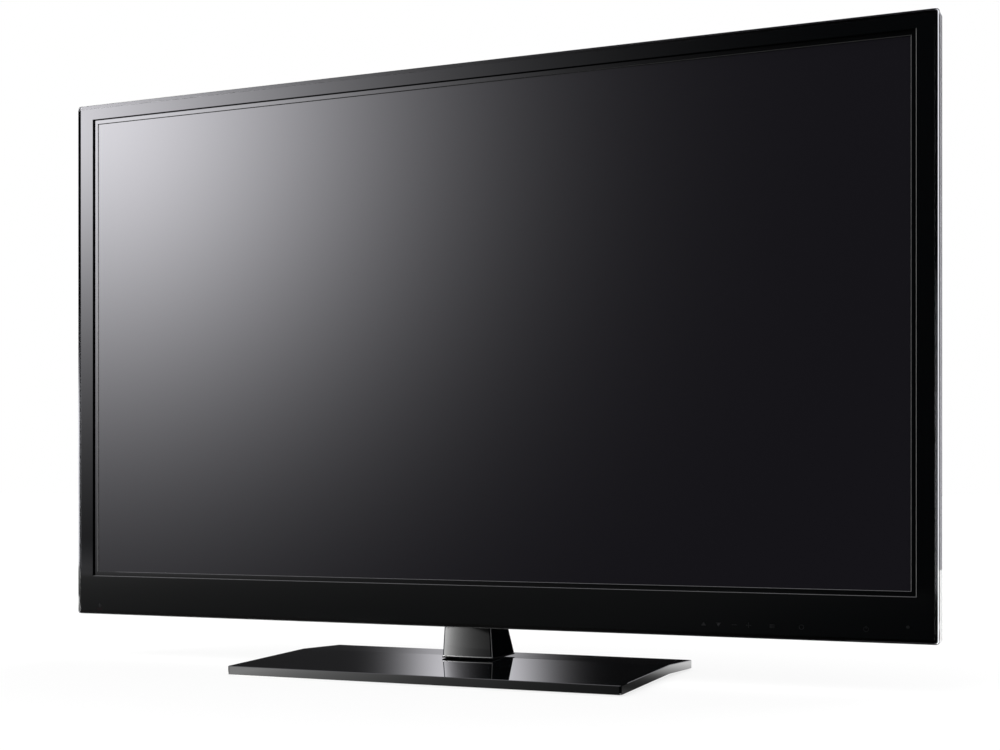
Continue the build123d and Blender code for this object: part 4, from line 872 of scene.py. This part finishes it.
# Film and flat leads: amber polyimide with copper lines at the panel's edges, and a white flat lead
# with a row of conductors between the boards.
def striped_film(name, ground, line, pitch, weight, *names):
    """Flat lead with its conductors showing through."""
    finish, tree = finish_of(name, ground)
    x, y, z = places(tree)
    stripes = wave(tree, plus(tree, x, z), pitch)
    film = noise(tree, 90.0)
    shown = times(tree, fade(tree, stripes, -0.2, 0.2), fade(tree, film, 0.2, 0.8, weight, 1.0))
    set_look(finish, blend_of(tree, shown, ground, line),
             uneven(tree, film, 0.2, 0.34), Normal=relief(tree, stripes, 0.00002))
    dress(finish, *names)


striped_film("amber_film", (0.36, 0.14, 0.025), (0.20, 0.06, 0.012), 0.0008, 0.7,
             "address_ribbons", "panel_side_ribbons")
striped_film("white_ribbon", (0.70, 0.70, 0.68), (0.46, 0.45, 0.43), 0.0012, 0.6, "signal_ribbon")

# Wire harness: copper leads in plastic covers of several colours, bundled and tied down along the
# chassis.
wire_jacket, tree = finish_of("wire_jacket", (0.3, 0.3, 0.3), IOR=1.48)
lane = node(tree, "TexVoronoi", Vector=stretched(tree, (60.0, 60.0, 60.0)), Scale=0.35)
shade = node(tree, "SeparateColor", Color=lane.outputs["Color"]).outputs[0]
jacket = blend_of(tree, fade(tree, shade, 0.45, 0.55), (0.03, 0.03, 0.032), (0.34, 0.03, 0.025))
jacket = blend_of(tree, fade(tree, shade, 0.78, 0.84), jacket, (0.55, 0.55, 0.52))
scuff = noise(tree, 800.0)
set_look(wire_jacket, jacket, uneven(tree, scuff, 0.3, 0.46), Normal=relief(tree, scuff, 0.00001))
dress(wire_jacket, "wire_harness")


# Back-cover screw tops: pan heads with a cross recess, black-plated, seated on the screws of the
# rear cover. Each is a low dome round a sunk cross.
def cross_top(shape, x, y, z, radius, rise, depth):
    """Domed screw top facing +y with a sunk cross."""
    arm = radius * 0.56
    half = radius * 0.16
    crown = 0.86
    rim = bmesh.ops.create_circle(shape, cap_ends=False, segments=24, radius=radius * crown)["verts"]
    rim_edges = list(dict.fromkeys(edge for vert in rim for edge in vert.link_edges))
    corners = ((half, arm), (-half, arm), (-half, half), (-arm, half), (-arm, -half), (-half, -half),
               (-half, -arm), (half, -arm), (half, -half), (arm, -half), (arm, half), (half, half))
    cross = [shape.verts.new((a, b, 0)) for a, b in corners]
    cross_edges = [shape.edges.new((cross[k], cross[k - 1])) for k in range(len(cross))]
    bmesh.ops.triangle_fill(shape, use_beauty=True, edges=rim_edges + cross_edges)
    skirt = verts_in(bmesh.ops.extrude_edge_only(shape, edges=rim_edges)["geom"])
    bmesh.ops.scale(shape, vec=(1 / crown, 1 / crown, 1), verts=skirt)
    bmesh.ops.translate(shape, vec=(0, 0, -rise), verts=skirt)
    sunk = bmesh.ops.extrude_edge_only(shape, edges=cross_edges)["geom"]
    floor_verts = verts_in(sunk)
    floor_edges = [piece for piece in sunk if isinstance(piece, bmesh.types.BMEdge)
                   and all(vert in floor_verts for vert in piece.verts)]
    bmesh.ops.translate(shape, vec=(0, 0, -depth), verts=floor_verts)
    bmesh.ops.triangle_fill(shape, use_beauty=True, edges=floor_edges)
    whole = rim + cross + skirt + floor_verts
    bmesh.ops.rotate(shape, matrix=Matrix.Rotation(-pi / 2, 3, "X"), verts=whole)
    bmesh.ops.translate(shape, vec=(x, y, z), verts=whole)


screw_top_y = 0.0121
screw_top_radius = 0.0029
screw_top_rise = 0.0005
screw_cross_depth = 0.0004
screw_columns = (-0.492, -0.1991, 0.1991, 0.492)
screw_places = [(side * 0.5785, z) for side in (-1, 1) for z in (0.1574, 0.4129, 0.6684)]
screw_places += [(x, z) for x in screw_columns for z in (0.0652, 0.7606)]
shape = bmesh.new()
for x, z in screw_places:
    cross_top(shape, x, screw_top_y, z, screw_top_radius, screw_top_rise, screw_cross_depth)
bmesh.ops.recalc_face_normals(shape, faces=shape.faces)
screw_tops = place_mesh("rear_cover_screw_tops", shape, bpy.data.materials["dark_screws"])
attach(screw_tops, "display")


# Phono socket collars and insulators: moulded plastic rings pressed on the sockets, green, blue and
# red for the picture and white and red for the sound.
def tube_of(shape, x, z, inner, outer, low_y, high_y):
    """Ring along y, turned from its section, with softened corners."""
    soft = (outer - inner) * 0.15
    section = ((inner, low_y), (outer, low_y), (outer, high_y - soft), (outer - soft, high_y),
               (inner + soft, high_y), (inner, high_y - soft))
    verts = [shape.verts.new((x + a, b, z)) for a, b in section]
    edges = [shape.edges.new((verts[k - 1], verts[k])) for k in range(len(verts))]
    bmesh.ops.spin(shape, geom=verts + edges, cent=(x, 0, z), axis=(0, 1, 0), angle=2 * pi, steps=32,
                   use_merge=True)


phono_z = 0.21045
phono_first_x = -0.354
phono_pitch = 0.022
plate_back_y = 0.0375
phono_mouth_y = 0.0465
phono_red = (0.42, 0.015, 0.012)
phono_colours = (("green", (0.02, 0.22, 0.05)), ("blue", (0.02, 0.06, 0.36)), ("red", phono_red),
                 ("white", (0.66, 0.66, 0.64)), ("red_sound", phono_red))
for step, (label, tint) in enumerate(phono_colours):
    pale = tuple(min(1.0, part * 1.15 + 0.01) for part in tint)
    finish = grained("phono_plastic_" + label, tint, tint, pale, 1200.0, 0.24, 0.36, IOR=1.49)
    shape = bmesh.new()
    x = phono_first_x + step * phono_pitch
    tube_of(shape, x, phono_z, 0.0046, 0.0068, plate_back_y, plate_back_y + 0.0014)
    tube_of(shape, x, phono_z, 0.002, 0.0034, phono_mouth_y - 0.0002, phono_mouth_y + 0.0002)
    bmesh.ops.recalc_face_normals(shape, faces=shape.faces)
    ring = place_mesh("phono_ring_" + label, shape, finish)
    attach(ring, "display")


# Tongues in the two digital sockets: moulded black plastic blades, with stamped and gilded contacts
# pressed into their upper and lower faces.
def bar(shape, low, high, edge=0.0):
    """Block between two corners, its edges softened."""
    middle = [(a + b) / 2 for a, b in zip(low, high)]
    span = [b - a for a, b in zip(low, high)]
    block = Matrix.Translation(middle) @ Matrix.Diagonal((*span, 1.0))
    made = bmesh.ops.create_cube(shape, size=1.0, matrix=block)
    if edge:
        edges = list(dict.fromkeys(line for vert in made["verts"] for line in vert.link_edges))
        bmesh.ops.bevel(shape, geom=edges, offset=edge, segments=2, affect="EDGES", profile=0.5, material=-1)


blade_width = 0.0102
blade_thickness = 0.0012
blade_soft = 0.00015
socket_floor_y = 0.0256
blade_tip_y = 0.0362
contact_count = 9
contact_pitch = 0.001
contact_width = 0.00045
contact_half_thick = 0.00005
digital_z = 0.23295
digital_places = (-0.369, -0.337)
blade_plastic = grained("blade_plastic", (0.012, 0.012, 0.013), (0.010, 0.010, 0.011), (0.018, 0.018, 0.019),
                        2200.0, 0.36, 0.5)
contact_gilt, tree = finish_of("contact_gilt", (0.80, 0.52, 0.18), Metallic=1.0)
grain = use_group(tree, metal_grain, Place=stretched(tree, (1.0, 0.1, 1.0)), Lines=3000.0)
set_look(contact_gilt, blend_of(tree, grain["Cloud"], (0.74, 0.46, 0.15), (0.86, 0.60, 0.24)),
         uneven(tree, grain["Line"], 0.18, 0.32), Normal=grain["Normal"])
blades = bmesh.new()
contacts = bmesh.new()
for x in digital_places:
    bar(blades, (x - blade_width / 2, socket_floor_y, digital_z - blade_thickness / 2),
        (x + blade_width / 2, blade_tip_y, digital_z + blade_thickness / 2), blade_soft)
    for step in range(contact_count):
        line_x = x + (step - (contact_count - 1) / 2) * contact_pitch
        for side in (-1, 1):
            face_z = digital_z + side * blade_thickness / 2
            bar(contacts, (line_x - contact_width / 2, socket_floor_y, face_z - contact_half_thick),
                (line_x + contact_width / 2, blade_tip_y - 0.0006, face_z + contact_half_thick))
for name, shape, finish, slot in (("digital_blades", blades, blade_plastic, "black_plastic"),
                                  ("digital_contacts", contacts, contact_gilt, "socket_metal")):
    bmesh.ops.recalc_face_normals(shape, faces=shape.faces)
    piece = place_mesh(name, shape, finish)
    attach(piece, "display")

# Computer picture socket: a blue moulded insulator with three rows of holes, and two hexagonal jack
# posts of plated steel screwed in beside the shell.
vga_x = -0.267
vga_face_y = 0.0425
insert_half = (0.0066, 0.0003, 0.0026)
insert_soft = 0.0002
hole_pitch = 0.0023
hole_stagger = 0.0011
hole_row_pitch = 0.0017
hole_radius = 0.00045
post_spread = 0.0125
post_radius = 0.0027
post_length = 0.0044
to_back = Matrix.Rotation(pi / 2, 4, "X")
vga_blue = grained("vga_blue", (0.012, 0.05, 0.26), (0.010, 0.045, 0.24), (0.016, 0.060, 0.30),
                   2000.0, 0.3, 0.44, IOR=1.49)
shape = bmesh.new()
ends = [[a + way * b for a, b in zip((vga_x, vga_face_y, digital_z), insert_half)] for way in (-1, 1)]
bar(shape, *ends, insert_soft)
vga_insert = place_mesh("vga_insert", shape, vga_blue)
shape = bmesh.new()
for row in range(3):
    for step in range(5):
        hole_x = vga_x + (step - 2) * hole_pitch + (row % 2) * hole_stagger
        place = Matrix.Translation((hole_x, vga_face_y + 0.00031, digital_z + (row - 1) * hole_row_pitch))
        bmesh.ops.create_cone(shape, cap_ends=True, segments=12, radius1=hole_radius, radius2=hole_radius,
                              depth=0.00005, matrix=place @ to_back)
vga_holes = place_mesh("vga_holes", shape, blade_plastic)
shape = bmesh.new()
for side in (-1, 1):
    place = Matrix.Translation((vga_x + side * post_spread, plate_back_y + post_length / 2, digital_z))
    bmesh.ops.create_cone(shape, cap_ends=True, segments=6, radius1=post_radius, radius2=post_radius,
                          depth=post_length, matrix=place @ to_back)
edges = [edge for edge in shape.edges if edge.calc_face_angle(0) > 1.2]
bmesh.ops.bevel(shape, geom=edges, offset=0.0002, segments=2, affect="EDGES", profile=0.5, material=-1)
jack_posts = place_mesh("vga_jack_posts", shape, bpy.data.materials["socket_metal"])
for piece, slot in ((vga_insert, "black_plastic"), (vga_holes, "black_plastic"),
                    (jack_posts, "socket_metal")):
    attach(piece, "display")

scene.view_settings.view_transform = "Standard"
